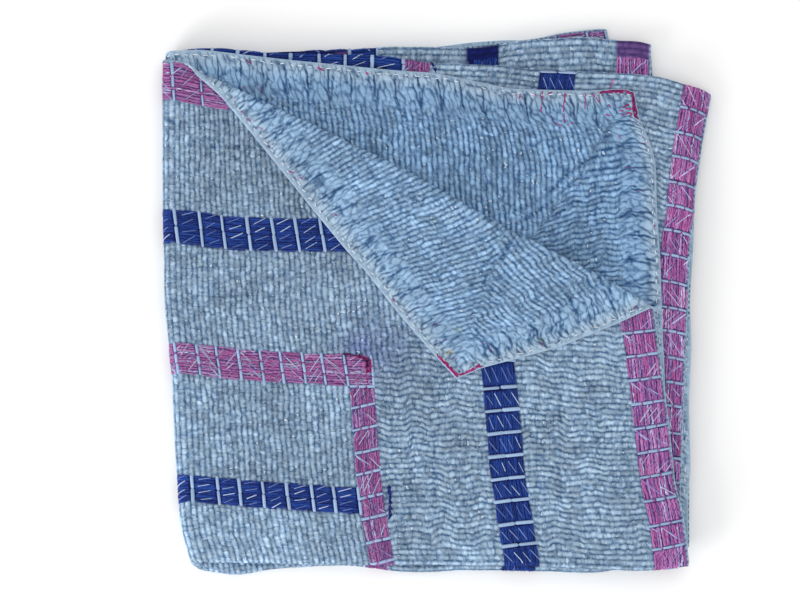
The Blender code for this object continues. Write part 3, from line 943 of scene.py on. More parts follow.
cotton = {
    "valleyDyeAndShade": (0.10, 0.185, 0.305),  # the colour's share left in the valleys, darker partly from dye and partly as painted shade
    "mottle": 0.18,
    "warp": 0.55,  # how ragged the rows are, in rows' widths
    "beadTone": 0.42,  # how unlike in tone the beads between the ties are
    "breakUp": 1.45,  # of ridges and valleys
    "grit": 0.55,
    "tieLength": 1.15,  # rows' widths from one tie to the next
    "tieDrift": 2.8,
    "tieDepth": (0.15, 0.75),  # of weak and strong ties
    "tieBump": -1.6,
    "glint": 0.75,  # how much of the pale sewing thread shows at the ties
    "roughness": 0.9,
    "specular": 0.2,
    "bump": 0.0010,
    "bumpStrength": 0.7,
}


def quiltedCotton():
    material, tree, shader = newMaterial("quiltedCotton")
    uv = addNode(tree, "ShaderNodeUVMap", uv_map="rows").outputs["UV"]
    across, plain = attribute(tree, "across"), attribute(tree, "plain")
    warp = vectorCalc(tree, "SUBTRACT", {0: noise(tree, uv, 0.85, 1.5, "Color"), 1: (0.5, 0.5, 0.5)})
    warp = vectorCalc(tree, "SCALE", {0: warp, "Scale": cotton["warp"]})
    ragged = vectorCalc(tree, "ADD", {0: uv, 1: warp})
    u, v = addNode(tree, "ShaderNodeSeparateXYZ", {"Vector": ragged}).outputs[:2]
    phase = mixed(tree, across, u, v)
    along = mixed(tree, across, v, u)
    wave = calc(tree, "COSINE", calc(tree, "MULTIPLY", phase, 2 * math.pi))
    wave = calc(tree, "MULTIPLY_ADD", wave, -0.5, 0.5)
    ridge = mixed(tree, attribute(tree, "fine"), wave, attribute(tree, "ridge"))
    # short ties across each row, at random places of its own
    row = calc(tree, "FLOOR", phase)
    chance = addNode(tree, "ShaderNodeTexWhiteNoise", {"W": row}, noise_dimensions="1D").outputs["Value"]
    place = calc(tree, "MULTIPLY_ADD", chance, 17.0, calc(tree, "DIVIDE", along, cotton["tieLength"]))
    apart = calc(tree, "MULTIPLY", row, 3.7)
    rowPlace = addNode(tree, "ShaderNodeCombineXYZ", {0: along, 1: apart}).outputs[0]
    place = calc(tree, "MULTIPLY_ADD", noise(tree, rowPlace, 0.6, 1.0), cotton["tieDrift"], place)
    beside = calc(tree, "ABSOLUTE", calc(tree, "SUBTRACT", calc(tree, "FRACT", place), 0.5))
    fromMiddle = calc(tree, "MULTIPLY_ADD", beside, -2.0, 1.0)
    fromRidge = calc(tree, "ABSOLUTE", calc(tree, "SUBTRACT", calc(tree, "FRACT", phase), 0.5))
    fromRidge = calc(tree, "POWER", calc(tree, "MULTIPLY", fromRidge, 2.0), 2.0)
    near = calc(tree, "MULTIPLY_ADD", fromRidge, 0.6, calc(tree, "POWER", fromMiddle, 2.4))
    tie = mapped(tree, near, 0.45, 1.2, 0.0, 1.0)
    strong = mapped(tree, noise(tree, rowPlace, 0.8, 0.0), 0.34, 0.58, *cotton["tieDepth"])
    rowed = calc(tree, "SUBTRACT", 1.0, plain)
    broken = noise(tree, uv, 1.35, 3.0, roughness=0.6)
    broken = calc(tree, "MULTIPLY", calc(tree, "SUBTRACT", broken, 0.5), cotton["breakUp"])
    ridge = calc(tree, "MULTIPLY_ADD", broken, calc(tree, "MULTIPLY_ADD", plain, -1.15, 1.0), ridge)
    ridge = calc(tree, "MINIMUM", calc(tree, "MAXIMUM", ridge, 0.0), 1.0)
    tie = calc(tree, "MULTIPLY", calc(tree, "MULTIPLY", tie, strong), rowed)
    ridge = calc(tree, "MULTIPLY", ridge, calc(tree, "SUBTRACT", 1.0, tie))
    # each bead between two ties has its own tone, and the whole is mottled
    nearestTie = calc(tree, "FLOOR", calc(tree, "ADD", place, 0.5))
    bead = addNode(tree, "ShaderNodeCombineXYZ", {0: row, 1: nearestTie}).outputs[0]
    tone = addNode(tree, "ShaderNodeTexWhiteNoise", {"Vector": bead}, noise_dimensions="2D").outputs["Value"]
    tone = calc(tree, "MULTIPLY", calc(tree, "SUBTRACT", tone, 0.5), cotton["beadTone"])
    tone = calc(tree, "MULTIPLY_ADD", tone, rowed, 1.0)
    grain = calc(tree, "MULTIPLY_ADD", noise(tree, uv, 1.1, 3.0), 2 * cotton["mottle"], 1 - cotton["mottle"])
    grit = noise(tree, uv, 5.0, 2.0)
    gritty = calc(tree, "MULTIPLY_ADD", grit, cotton["grit"], 1 - cotton["grit"] / 2)
    grain = calc(tree, "MULTIPLY", calc(tree, "MULTIPLY", grain, tone), gritty)
    # painted shade: the colour darkens towards the valleys, ties and crease troughs, partly as dye and
    # partly as the shade that falls in them
    tint = mixedColour(tree, ridge, (*cotton["valleyDyeAndShade"], 1.0), (1.0, 1.0, 1.0, 1.0))
    dyed = vectorCalc(tree, "MULTIPLY", {0: attribute(tree, "dye", "Color"), 1: tint})
    dyed = vectorCalc(tree, "SCALE", {0: dyed, "Scale": grain})
    # the sewing thread comes up as specks beside the ties
    speck = calc(tree, "GREATER_THAN", noise(tree, uv, 1.9, 0.0), 0.585)
    speck = calc(tree, "MULTIPLY", speck, calc(tree, "GREATER_THAN", tie, 0.30))
    speck = calc(tree, "MULTIPLY", speck, calc(tree, "GREATER_THAN", wave, 0.35))
    glint = calc(tree, "MULTIPLY", speck, cotton["glint"])
    colour = mixedColour(tree, glint, dyed, (*dyesAndShade["thread"], 1.0))
    finishMaterial(tree, shader, colour, calc(tree, "MULTIPLY_ADD", tie, cotton["tieBump"], grit), cotton)
    return material


thread = {
    "fleck": (146, 150, 196),
    "streaks": 0.9,
    "darkest": 0.55,
    "roughness": 0.75,
    "specular": 0.15,
    "bump": 0.0005,
    "bumpStrength": 0.6,
}


def floatThread(name, flecks):
    material, tree, shader = newMaterial(name)
    uv = addNode(tree, "ShaderNodeUVMap", uv_map="rows").outputs["UV"]
    streak = noise(tree, uv, 3.0, 2.0)
    tone = calc(tree, "MULTIPLY_ADD", streak, thread["streaks"], thread["darkest"])
    dyed = vectorCalc(tree, "SCALE", {0: attribute(tree, "dye", "Color"), "Scale": tone})
    fleck = mapped(tree, noise(tree, uv, 1.4, 1.0), 0.56, 0.64, 0.0, flecks)
    colour = mixedColour(tree, fleck, dyed, (*colourOf(*thread["fleck"]), 1.0))
    finishMaterial(tree, shader, colour, streak, thread)
    return material


# Threads that lie on the cloth

threadShape = {
    "ringAt": np.array([0.0, 0.1, 0.3, 0.5, 0.7, 0.9, 1.0]),  # along the thread
    "ringWide": np.array([0.5, 1, 1, 1, 1, 1, 0.5]),
    "ringHigh": np.array([0, 0.8, 1, 1, 1, 0.8, 0]),
    "profileAt": np.array([-0.5, -0.27, 0.27, 0.5]),  # across it
    "profileHigh": np.array([0.0, 1.0, 1.0, 0.0]),
    "streak": 0.004,  # length of one unit of the material's pattern
}


def threadFaces(count):
    rings, corners = len(threadShape["ringAt"]), len(threadShape["profileAt"])
    first = np.arange(count) * rings * corners
    faces = []
    for r in range(rings - 1):
        for k in range(corners - 1):
            a = first + r * corners + k
            faces.append(np.stack([a, a + 1, a + corners + 1, a + corners], 1))
    for r, order in ((0, 1), (rings - 1, -1)):
        a = first + r * corners
        faces.append(np.stack([a, a + 3, a + 2, a + 1], 1)[:, ::order])
    for r in range(rings - 1):
        a = first + r * corners
        faces.append(np.stack([a, a + corners, a + corners + 3, a + 3], 1))
    return np.concatenate(faces).tolist()


def strandPiece(name, strands, material):  # of the strands that strandOf gives
    starts, ends, widths, heights, bases, sides, wanders, colours, seconds = (
        np.array([v[key] for v in strands])
        for key in ("start", "end", "width", "height", "base", "side", "wander", "colour", "second"))
    ringAt, profileAt = threadShape["ringAt"], threadShape["profileAt"]
    along = ends - starts
    length = np.linalg.norm(along, axis=1, keepdims=True)
    across = np.stack([-along[:, 1], along[:, 0]], 1) / length
    centre = starts[:, None] + along[:, None] * ringAt[None, :, None]
    offset = widths[:, None, None] * threadShape["ringWide"][None, :, None] * profileAt[None, None, :]
    bends = rng.uniform(-1, 1, (len(strands), len(ringAt))) * wanders[:, None]
    offset = offset + bends[:, :, None]
    place = centre[:, :, None] + across[:, None, None] * offset[..., None]
    s, t = place[..., 0], place[..., 1]
    high = threadShape["ringHigh"][None, :, None] * threadShape["profileHigh"][None, None, :]
    lift = bases[:, None, None] + heights[:, None, None] * high
    lift = fold["sheet"] / 2 + lift + quilting["lump"] * 0.6 * lumpsAt(s, t)
    points = onCloth(s, t, sides[:, None, None] * lift).reshape(-1, 3)
    share = rng.uniform(0, 1, (len(strands), len(ringAt), 1)) ** 1.5
    dye = colours[:, None] * (1 - share) + seconds[:, None] * share
    dye = np.repeat(dye.reshape(-1, 3), len(profileAt), axis=0)
    u = np.broadcast_to(ringAt[None, :, None] * length[:, :, None] / threadShape["streak"], s.shape)
    v = np.broadcast_to(profileAt[None, None, :] * 2 + np.arange(len(strands))[:, None, None] * 3.7, s.shape)
    rows = np.stack([u.ravel(), v.ravel()], 1)
    piece = meshPiece(name, points, threadFaces(len(strands)), rows, dye, {}, material)
    faceOutward(piece)
    print(f"{name}: {len(strands)} strands")
    return piece


floats = {
    "width": 2.0 * mm,
    "height": 0.75 * mm,
    "base": -0.35 * mm,
    "ragged": 1.1 * mm,  # how unevenly the floats end
    "slantHeight": 1.0 * mm,
    "shade": 0.15,  # from one thread to the next
    "mixed": 0.3,  # share of the magenta floats that are partly of a slant's colour
    "besideHem": 0.05,
    "navy": {
        "gap": 1.2,
        "gapPieces": ((-0.04, 0.51), (0.49, 1.04)),  # across the band
        "crossings": (),  # floats that run on over the gap
        "hemBands": 1.0,
        "notch": 0.42,  # how much shorter the outer floats of a block can be, as a share of it
        "wander": 0.15 * mm,  # sideways, of the floats
        "cuts": 1,  # threads end to end in one float
        "shift": 0.0,  # from one of them to the next, as a share of the band
        "slantWidth": 1.15 * mm,
        "slants": [[(0.80, 0.00 + 0.25 * k), (0.24, 0.19 + 0.25 * k)] for k in range(4)],
        "slantColours": coloursOf((126, 146, 196), (96, 116, 178), (176, 192, 218)),
        "missing": 0.0,
        "colours": coloursOf((23, 56, 134), (31, 68, 150), (19, 50, 122), (17, 42, 108)),
    },
    "magenta": {
        "gap": 1.0,
        "gapPieces": ((-0.03, 0.32), (0.34, 0.66), (0.69, 1.03)),
        "crossings": (0.325, 0.675),
        "hemBands": 1.36,  # how much brighter the bands beside the side hems are
        "notch": 0.12,
        "wander": 0.55 * mm,
        "cuts": 2,
        "shift": 0.02,
        "slantWidth": 1.05 * mm,
        "slants": [[(0.60, 0.00), (0.95, 0.26)], [(0.30, 0.00), (0.96, 0.50)], [(0.04, 0.06), (0.95, 0.74)],
                   [(0.04, 0.28), (0.96, 0.98)], [(0.03, 0.54), (0.64, 1.00)], [(0.03, 0.78), (0.32, 1.00)]],
        "slantColours": coloursOf((162, 178, 212), (184, 194, 220), (140, 128, 180), (84, 64, 124),
                                  (96, 70, 134)),
        "missing": 0.15,
        "colours": coloursOf((158, 82, 140), (140, 72, 132), (168, 108, 160), (112, 70, 126), (158, 64, 124),
                             (162, 98, 154)),
    },
}


def bandBlocks():  # every block of floats: its colour, corners in cloth width and length, and direction
    blocks = []
    for flipS, flipT in ((0, 0), (0, 1), (1, 0), (1, 1)):
        name = "left" if flipS else ("under" if flipT else "top")
        over = 0 if flipS else (1 if flipT else -1)  # blocks that pass over the middle crease
        rows = [(row, True, clothLength / 2 + over * row[4]) for row in bands["upright"][name]]
        for row in bands["level"]:
            if flipT or row[2] < clothLength / 2:
                over = -row[4] if flipS else row[4]  # one block passes over the lengthwise fold
                rows.append((row, False, clothWidth / 2 + over))
        for (kind, low, high, start, pitch, phase, lean), upright, stop in rows:
            firstGap = math.ceil((start - phase) / pitch + 0.35)
            gaps = phase + pitch * np.arange(firstGap, (stop - phase) / pitch)
            places = [start, *(gaps + rng.uniform(-0.05, 0.05, len(gaps)) * pitch)]
            rise = 0.0 if upright else bands["rise"].get(low, 0.0)
            for k, along in enumerate(zip(places, places[1:])):
                skew = rng.uniform(-1, 1, 4) * mm + rise * (along[1] - along[0])
                shift = rise * (along[0] - start)
                across, leans = (low + shift, high + shift), (0 if k == 0 else lean, lean)
                blocks.append({"kind": kind, "along": along, "across": across, "index": k, "skew": skew,
                               "upright": upright, "flips": (flipS, flipT), "leans": leans})
    return blocks


def blockPoint(block, q, c):  # cloth width and length at shares q along and c across a block
    skew = block["skew"]
    along = block["along"][0] + q * (block["along"][1] - block["along"][0])
    low, high = block["across"][0] + skew[0] * q, block["across"][1] + skew[1] * q
    across = low + c * (high - low)
    lean = block["leans"][0] + q * (block["leans"][1] - block["leans"][0])
    along = along + lean * (across - (low + high) / 2)
    a, b = (across, along) if block["upright"] else (along, across)
    return (clothWidth - a if block["flips"][0] else a, clothLength - b if block["flips"][1] else b)


def shade(colour, spread):
    return np.clip(colour * (1 + spread * rng.uniform(-1, 1)), 0, 1)


def strandOf(start, end, width, height, base, colour, side, second=None, wander=0.0):
    return {"start": start, "end": end, "width": width, "height": height, "base": base, "side": side,
            "colour": colour, "second": colour if second is None else second, "wander": wander}


def blockColours(block):  # level magenta is paler, and the bands beside a side hem are brighter
    style = floats[block["kind"]]
    pale = block["kind"] == "magenta" and not block["upright"]
    bright = style["hemBands"] if block["upright"] and block["across"][0] < floats["besideHem"] else 1.0
    return ([v * bright for v in (style[key][:3] if pale else style[key])]
            for key in ("colours", "slantColours"))


def floatStrands(block, colours, slantColours, bent):
    style = floats[block["kind"]]
    reach = block["along"][1] - block["along"][0]
    gap = bands["gap"] * style["gap"] / reach / 2
    count = round((block["across"][1] - block["across"][0]) / bands["row"])
    strands = []
    for r in range(count):
        c = (r + 0.5 + rng.uniform(-0.2, 0.2)) / count
        ends = gap + rng.uniform(-0.4, 1, 2) * floats["ragged"] / reach
        if r in (0, count - 1):
            ends[rng.integers(2)] += rng.uniform(0.2, 1) * style["notch"]
        colour, second = (shade(colours[k], floats["shade"]) for k in rng.integers(len(colours), size=2))
        if block["kind"] == "magenta" and rng.uniform() < floats["mixed"]:
            second = shade(slantColours[rng.integers(len(slantColours))], floats["shade"])
        cuts = np.linspace(ends[0], 1 - ends[1], 6 if bent and block["upright"] else style["cuts"] + 1)
        cuts[1:-1] += rng.uniform(-0.16, 0.16, len(cuts) - 2) * (style["cuts"] > 1)
        for first, last in zip(cuts, cuts[1:] + 0.02):
            c = c + rng.uniform(-1, 1) * style["shift"]
            wide = floats["width"] * rng.uniform(0.75, 1.15)
            tall = floats["height"] * rng.uniform(0.5, 1.3)
            strands.append(strandOf(blockPoint(block, first, c), blockPoint(block, last, c), wide, tall,
                                    floats["base"], colour, 1, second, style["wander"]))
    return strands


def slantStrands(block, colours):
    style = floats[block["kind"]]
    turned = block["index"] % 2 if block["kind"] == "magenta" else block["upright"] == block["flips"][1]
    strands = []
    for start, end in style["slants"]:
        if rng.uniform() < style["missing"]:
            continue
        if turned:
            start, end = (start[0], end[1]), (end[0], start[1])
        start, end = np.array(start), np.array(end)
        if block["kind"] == "magenta":
            low, high = rng.uniform(-0.03, 0.22), rng.uniform(0.72, 1.03)
            start, end = start + low * (end - start), start + high * (end - start)
        start, end = start + rng.uniform(-0.05, 0.05, 2), end + rng.uniform(-0.05, 0.05, 2)
        colour = shade(colours[rng.integers(len(colours))], floats["shade"])
        wide = style["slantWidth"] * rng.uniform(0.7, 1.25)
        start, end = blockPoint(block, *start), blockPoint(block, *end)
        strands.append(strandOf(start, end, wide, floats["slantHeight"], floats["base"], colour, 1))
    return strands


def gapStrands(block, bent):  # the pale strip between two blocks, and the threads that cross it
    style = floats[block["kind"]]
    pieces = style["gapPieces"]
    if bent and not block["upright"]:
        pieces = [(k / 5 - 0.02, k / 5 + 0.22) for k in range(5)]
    strands = []
    for pair in pieces:
        c0, c1 = (c + rng.uniform(-0.03, 0.03) for c in pair)
        start, end = blockPoint(block, 0, c0), blockPoint(block, rng.uniform(-0.02, 0.02), c1)
        wide = bands["gap"] * style["gap"] * rng.uniform(0.65, 0.9)
        strands.append(strandOf(start, end, wide, floats["height"] * 1.2, floats["base"],
                                shade(dyesAndShade["gap"], 0.12), 1))
    for c in style["crossings"]:
        colour = shade(style["colours"][rng.integers(3)], 0.2)
        low, high = rng.uniform(-0.10, -0.03), rng.uniform(0.03, 0.10)
        start, end = blockPoint(block, low, c), blockPoint(block, high, c + rng.uniform(-0.05, 0.05))
        wide = floats["width"] * 0.9
        strands.append(strandOf(start, end, wide, floats["height"], floats["base"], colour, 1))
    return strands


def blockStrands(block):
    colours, slantColours = blockColours(block)
    low, high = sorted(blockPoint(block, q, q)[1] for q in (0, 1))
    bent = any(low < alongBreaks[k + 1] and high > alongBreaks[k] for k in (1, 3, 5))  # over a crease
    return (floatStrands(block, colours, slantColours, bent) + slantStrands(block, slantColours)
            + gapStrands(block, bent))


hemStitches = {
    "from": 0.0042,
    "length": 0.0056,
    "pitch": 0.0115,
    "width": 0.95 * mm,
    "height": 0.9 * mm,
    "base": -0.3 * mm,
    "stray": 1.3 * mm,  # from the line of stitches
    "share": 0.9,  # of the stitches that are there
}


def hemStrands():
    strands = []
    for size, run in ((clothLength, 1), (clothWidth, 0)):
        for k in range(int(size / hemStitches["pitch"])):
            for far in (False, True):
                along = (k + 0.5 + rng.uniform(-0.12, 0.12)) * hemStitches["pitch"]
                end = along + hemStitches["length"] * rng.uniform(0.6, 1.15)
                offsets = hemStitches["from"] + rng.uniform(-1, 1, 2) * hemStitches["stray"]
                if far:
                    offsets = (clothWidth if run else clothLength) - offsets
                first, last = (offsets[0], along), (offsets[1], end)
                if not run:
                    first, last = first[::-1], last[::-1]
                if rng.uniform() < hemStitches["share"]:
                    wide = hemStitches["width"] * rng.uniform(0.8, 1.2)
                    strands.append(strandOf(first, last, wide, hemStitches["height"], hemStitches["base"],
                                            shade(dyesAndShade["white"], 0.06), -1))
    return strands


ticks = {
    "width": 1.0 * mm,
    "height": 0.4 * mm,
    "base": -0.7 * mm,
    "from": 0.006,  # the hem
    "to": 0.036,
    "magentaTo": 0.12,  # from a corner, where most of them are crimson
    "missing": 0.22,
    "crimson": 0.6,
    "sway": 0.08,  # of their lines, as a share of the pitch
    "turn": 0.9 * mm,
}


def tickStrands():  # short stitches on the back, where the floats pass through at the ends of their blocks
    strands = []
    pitch = bands["tickPitch"]
    steps = int((ticks["to"] - ticks["from"]) / bands["row"])
    for size, run in ((clothLength, 1), (clothWidth, 0)):
        for k in range(1, int(size / pitch)):
            for far in (False, True):
                for r in range(steps):
                    place = k * pitch
                    depth = ticks["from"] + (r + 0.5) * bands["row"]
                    fromCorner = min(place, size - place)
                    if rng.uniform() < ticks["missing"] or fromCorner < depth:
                        continue
                    reddish = fromCorner < ticks["magentaTo"] and rng.uniform() < ticks["crimson"]
                    colour = dyesAndShade["crimson"] if reddish else dyesAndShade["tick"]
                    swayed = softNoise(np.array(place), np.array(depth), 0.02, 58)
                    place = place - ticks["sway"] * pitch * swayed
                    across = (clothWidth if run else clothLength) - depth if far else depth
                    turn = rng.uniform(-1, 1, 2) * ticks["turn"]
                    start, end = (across, place - turn[0]), (across + bands["row"], place + turn[1])
                    if not run:
                        start, end = start[::-1], end[::-1]
                    strands.append(strandOf(start, end, ticks["width"], ticks["height"], ticks["base"],
                                            shade(colour, 0.25), -1))
    return strands


looseStitch = {
    "length": 0.0045,
    "thick": 2.5,  # mm, of threads that are laid as three plies
    "spread": (0.1, 0.35),  # sideways, for thin and thick threads, as a share of the width
    "width": (0.9, 0.45),
    "slant": 0.12,
    "inside": 0.3 * mm,  # of the hem
    "base": -0.2 * mm,
    "wander": 0.3 * mm,
}

# Threads, listed by quadrant (see looseHome): start and end as distances from the side hem and the
# end hem, width and height in mm, and colour
loose = {
    "corner": [
        ((0.041, 0.0022), (0.026, 0.0012), 3.4, 1.9, (140, 36, 104)),
        ((0.030, 0.0010), (0.014, 0.0018), 4.6, 2.1, (128, 30, 92)),
        ((0.017, 0.0012), (0.001, 0.0012), 4.8, 2.1, (138, 34, 100)),
        ((0.0016, 0.001), (0.0018, 0.012), 5.2, 2.0, (112, 26, 82)),
        ((0.0020, 0.010), (0.0032, 0.022), 5.8, 2.1, (124, 30, 90)),
        ((0.0028, 0.020), (0.0040, 0.033), 6.0, 2.1, (104, 26, 78)),
        ((0.0195, 0.0205), (0.0083, 0.0160), 2.0, 1.2, (150, 44, 110)),
        ((0.0225, 0.0245), (0.0075, 0.0210), 1.8, 1.2, (160, 54, 116)),
        ((0.0221, 0.0294), (0.0090, 0.0262), 2.2, 1.2, (146, 40, 104)),
        ((0.0110, 0.0300), (0.0060, 0.0230), 1.8, 1.2, (134, 34, 98)),
        ((0.1365, 0.0027), (0.1392, 0.0107), 1.8, 1.0, (150, 50, 112)),
        ((0.1103, 0.0020), (0.1158, 0.0254), 1.9, 1.0, (146, 44, 108)),
        ((0.0827, 0.0015), (0.0880, 0.0180), 2.0, 1.0, (150, 44, 108)),
        ((0.0875, 0.0170), (0.0910, 0.0370), 1.9, 1.0, (142, 40, 104)),
        ((0.1020, 0.0374), (0.0960, 0.0414), 1.5, 1.0, (140, 40, 104)),
        ((0.0896, 0.0405), (0.0827, 0.0374), 1.5, 1.0, (150, 50, 112)),
        ((0.0593, 0.0030), (0.0634, 0.0214), 1.7, 0.9, (140, 60, 122)),
        ((0.0510, 0.0030), (0.0441, 0.0147), 1.8, 1.0, (150, 50, 114)),
        ((0.0345, 0.0160), (0.0330, 0.0200), 1.8, 1.0, (130, 44, 104)),
        ((0.0410, 0.0262), (0.0370, 0.0290), 2.4, 1.1, (160, 56, 118)),
        ((0.0345, 0.0548), (0.0325, 0.0595), 1.9, 1.0, (140, 44, 108)),
        ((0.1235, 0.0025), (0.1180, 0.0060), 1.4, 0.9, (146, 60, 122)),
        ((0.1040, 0.0035), (0.0985, 0.0020), 1.4, 0.9, (140, 50, 112)),
        ((0.4645, 0.0040), (0.4600, 0.0070), 1.7, 0.9, (140, 44, 108)),
        ((0.3791, 0.0040), (0.3740, 0.0070), 1.9, 0.9, (146, 44, 108)),
        ((0.3230, 0.0060), (0.3190, 0.0050), 1.7, 0.9, (150, 50, 112)),
        ((0.4701, 0.0320), (0.4695, 0.0355), 1.5, 0.8, (140, 44, 108)),
        ((0.4480, 0.0300), (0.4475, 0.0380), 1.2, 0.8, (120, 50, 116)),
        ((0.0050, 0.0620), (0.0080, 0.0640), 1.4, 0.9, (150, 60, 120)),
        ((0.0060, 0.0560), (0.0090, 0.0560), 1.4, 0.9, (150, 60, 120)),
        ((0.0030, 0.1560), (0.0050, 0.1600), 1.6, 0.9, (140, 44, 108)),
    ],
    "flap": [
        ((0.0371, 0.0016), (0.0250, 0.0010), 4.4, 1.5, (160, 44, 112)),
        ((0.0265, 0.0012), (0.0130, 0.0016), 5.2, 1.7, (142, 34, 100)),
        ((0.0140, 0.0012), (0.0020, 0.0020), 4.6, 1.6, (156, 40, 108)),
        ((0.0012, 0.0060), (0.0014, 0.0150), 4.4, 1.6, (140, 34, 100)),
        ((0.0012, 0.0140), (0.0020, 0.0290), 5.4, 1.8, (152, 44, 110)),
        ((0.0060, 0.0290), (0.0015, 0.0230), 1.6, 1.0, (140, 36, 104)),
        ((0.4389, 0.0060), (0.4330, 0.0085), 1.6, 0.9, (150, 80, 136)),
        ((0.4270, 0.0050), (0.4230, 0.0075), 1.6, 0.9, (146, 60, 124)),
        ((0.4128, 0.0096), (0.4060, 0.0105), 1.8, 0.9, (150, 60, 124)),
        ((0.3818, 0.0040), (0.3818, 0.0110), 2.2, 0.9, (96, 44, 96)),
        ((0.3400, 0.0050), (0.3360, 0.0070), 1.7, 0.9, (150, 60, 124)),
        ((0.3270, 0.0090), (0.3220, 0.0110), 1.7, 0.9, (142, 50, 112)),
        ((0.2615, 0.0139), (0.2570, 0.0150), 1.6, 0.9, (146, 50, 116)),
        ((0.1310, 0.0050), (0.1270, 0.0040), 2.0, 0.9, (160, 50, 116)),
        ((0.0040, 0.2550), (0.0055, 0.2600), 1.6, 0.9, (150, 50, 116)),
        ((0.0050, 0.2200), (0.0080, 0.2230), 1.6, 0.9, (140, 44, 108)),
    ],
    "top": [
        ((0.3650, 0.3082), (0.3520, 0.3096), 2.6, 2.0, (84, 26, 84)),
        ((0.3530, 0.3094), (0.3380, 0.3132), 3.2, 2.1, (96, 22, 74)),
        ((0.3380, 0.3130), (0.3400, 0.3290), 4.2, 1.6, (104, 20, 72)),
        ((0.3350, 0.3150), (0.3350, 0.3270), 3.4, 1.7, (140, 26, 96)),
        ((0.3385, 0.3140), (0.3375, 0.3210), 3.0, 1.8, (30, 18, 56)),
        ((0.3410, 0.3330), (0.3400, 0.3440), 1.8, 1.0, (124, 28, 90)),
        ((0.3255, 0.4530), (0.3270, 0.4700), 4.0, 1.5, (28, 34, 104)),
        ((0.3266, 0.4680), (0.3290, 0.4880), 3.7, 1.4, (26, 30, 96)),
    ],
    "under": [
        ((0.2886, 1.0743), (0.2829, 1.0648), 2.8, 1.2, (24, 30, 96)),
        ((0.1029, 1.0662), (0.1071, 1.0527), 1.3, 0.8, (186, 96, 150)),
    ],
}


def looseStrands():  # each is laid as short overlapping stitches
    strands = []
    for home, rows in loose.items():
        side, far = looseHome[home]
        for start, end, width, height, colour in rows:
            ends = np.array([(a, clothLength - b if far else b) for a, b in (start, end)])
            run = ends[1] - ends[0]
            size = np.linalg.norm(run)
            across = np.array([-run[1], run[0]]) / size
            count = max(1, round(size / looseStitch["length"]))
            thick = width > looseStitch["thick"]
            plies = 3 if thick else 1
            for k in range(count * plies):
                middle = ends[0] + run * np.clip((k // plies + 0.5 + rng.uniform(-0.4, 0.4)) / count, 0, 1)
                middle = middle + across * rng.uniform(-1, 1) * width * mm * looseStitch["spread"][thick]
                half = run / count * rng.uniform(0.4, 0.75)
                half = half + across * rng.uniform(-1, 1) * size / count * plies * looseStitch["slant"]
                wide = width * mm * rng.uniform(0.7, 1.1) * looseStitch["width"][thick]
                tall = height * mm * rng.uniform(0.6, 1.1)
                dye = shade(colourOf(*colour), 0.25)
                second = shade(colourOf(*colour) * 1.5, 0.3)
                first, last = (np.maximum(v, looseStitch["inside"]) for v in (middle - half, middle + half))
                strands.append(strandOf(first, last, wide, tall, looseStitch["base"], dye, side, second,
                                        looseStitch["wander"]))
    return strands


def strandsThatShow(strands, tops):
    sides = np.array([v["side"] for v in strands])
    shows = np.zeros(len(strands), bool)
    for share in (0.08, 0.5, 0.92):
        s, t = np.array([np.add(v["start"], share * np.subtract(v["end"], v["start"])) for v in strands]).T
        shows |= showsAt(onCloth(s, t, sides * fold["sheet"] / 2), tops)
    return [v for v, seen in zip(strands, shows) if seen]


# The throw

seamS = sum(quilting["blocksAcross"][:2]) * blockSteps  # the pieces of cloth meet inside the folds
seamT, seamEnd = (sum(quilting["blocksAlong"][:k]) * blockSteps for k in (2, 6))
lastS, lastT = len(sAt) - 1, len(tAt) - 1


def onTop(bs, bt):
    return (bs < seamS // blockSteps) & (bt < seamT // blockSteps)


def onCorner(bs, bt):
    return (bs < seamS // blockSteps) & (bt >= seamEnd // blockSteps)


def onRest(bs, bt):
    return ~onTop(bs, bt) & ~onCorner(bs, bt)


clothParts = {  # the blocks that each piece keeps, and the corners of its outline
    "throw_top_layer": (onTop, [(0, 0), (seamS, 0), (seamS, seamT), (0, seamT)]),
    "throw_corner_layer": (onCorner, [(0, seamEnd), (seamS, seamEnd), (seamS, lastT), (0, lastT)]),
    "throw_layers": (onRest, [(seamS, 0), (lastS, 0), (lastS, lastT), (seamS, lastT), (seamS, seamEnd),
                              (0, seamEnd), (0, seamT), (seamS, seamT)]),
}

print("cloth: finding what shows from above")
sides, tops = heightsFromAbove()
shownBlocks = {side: blocksThatShow(points, tops) for side, points in sides.items()}
shownAt = {side: pointsOf(np.argwhere(shown)) for side, shown in shownBlocks.items()}
cells = {side: cellList(shown) for side, shown in shownBlocks.items()}
used = {side: usedPoints(cells[side]) for side in (1, -1)}
seams = np.zeros_like(used[1])
seams[[0, -1], :] = seams[:, [0, -1]] = True
seams[seamS, :] = seams[:seamS + 1, seamT] = seams[:seamS + 1, seamEnd] = True
both = (used[1] | used[-1]) & seams
used = {side: used[side] | both for side in (1, -1)}

cottonMaterial = quiltedCotton()
for name, (keep, corners) in clothParts.items():
    piece = clothPiece(name, keep, corners, cells, used, cottonMaterial)
    faceOutward(piece)
    print(f"{name}: {sum(len(face.vertices) - 2 for face in piece.data.polygons)} triangles")

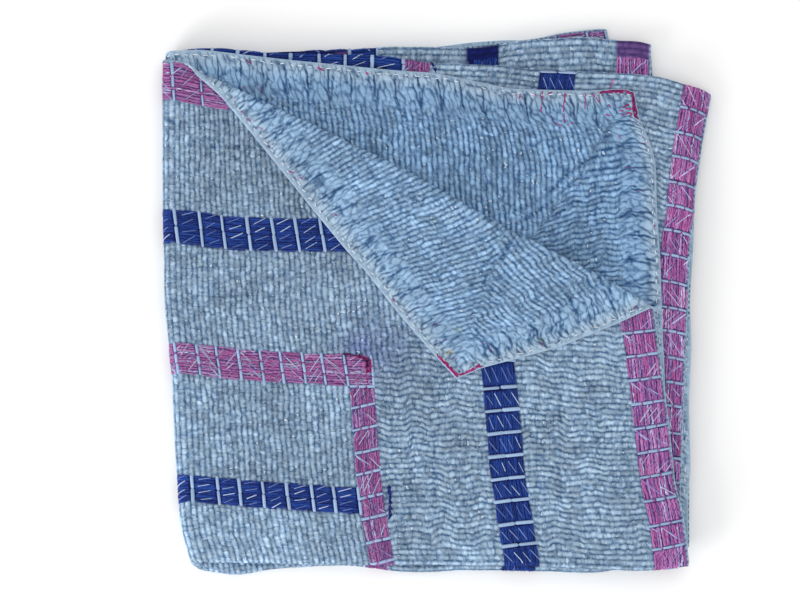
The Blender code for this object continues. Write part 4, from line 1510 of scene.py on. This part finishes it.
floatsOf = {"navy": [], "magenta": []}
for block in bandBlocks():
    floatsOf[block["kind"]].extend(blockStrands(block))
navyMaterial, magentaMaterial = floatThread("navyThread", 0.12), floatThread("magentaThread", 0.6)
threadMaterial = floatThread("sewingThread", 0.0)
threads = [
    strandPiece("navy_floats", strandsThatShow(floatsOf["navy"], tops), navyMaterial),
    strandPiece("magenta_floats", strandsThatShow(floatsOf["magenta"], tops), magentaMaterial),
    strandPiece("back_stitches", strandsThatShow(tickStrands(), tops), threadMaterial),
    strandPiece("hem_stitches", strandsThatShow(hemStrands(), tops), threadMaterial),
    strandPiece("loose_threads", looseStrands(), threadMaterial),
]

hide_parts("throw")


# Floor, lights and camera

studio = {
    "floorSize": 12.0,
    "floorColour": (0.97, 0.97, 0.97, 1.0),
    "worldStrength": 0.85,
    "softboxes": [  # place, size and power
        ((-1.7, -1.5, 0.75), 1.2, 40.0),
        ((0.8, 1.6, 2.2), 2.2, 10.0),
    ],
    "cameraHeight": 2.6,
    "viewWidth": 0.8536,  # of the picture, at the top of the pile
    "viewCentre": (-0.0399, 0.0027),
}


def setStudio():
    mesh = bpy.data.meshes.new("floor")
    r = studio["floorSize"] / 2
    mesh.from_pydata([(-r, -r, 0), (r, -r, 0), (r, r, 0), (-r, r, 0)], [], [(0, 1, 2, 3)])
    floor = bpy.data.objects.new("floor", mesh)
    bpy.context.scene.collection.objects.link(floor)
    floorMaterial, _, shader = newMaterial("paleFloor")
    shader.inputs["Base Color"].default_value = studio["floorColour"]
    shader.inputs["Roughness"].default_value = 0.9
    mesh.materials.append(floorMaterial)
    world = bpy.data.worlds.new("studio")
    world.use_nodes = True
    world.node_tree.nodes["Background"].inputs[0].default_value = (1, 1, 1, 1)
    world.node_tree.nodes["Background"].inputs[1].default_value = studio["worldStrength"]
    bpy.context.scene.world = world
    for k, (place, size, power) in enumerate(studio["softboxes"]):
        light = bpy.data.lights.new(f"softbox{k}", "AREA")
        light.size, light.energy = size, power
        lamp = bpy.data.objects.new(f"softbox{k}", light)
        lamp.location = place
        lamp.rotation_euler = (-mathutils.Vector(place)).to_track_quat("-Z", "Y").to_euler()
        bpy.context.scene.collection.objects.link(lamp)
    camera = bpy.data.cameras.new("camera")
    distance = studio["cameraHeight"] - stackHeight
    camera.lens = camera.sensor_width * distance / studio["viewWidth"]
    cameraObject = bpy.data.objects.new("camera", camera)
    cameraObject.location = (*studio["viewCentre"], studio["cameraHeight"])
    bpy.context.scene.collection.objects.link(cameraObject)
    bpy.context.scene.camera = cameraObject
    bpy.context.scene.view_settings.view_transform = "Standard"


setStudio()
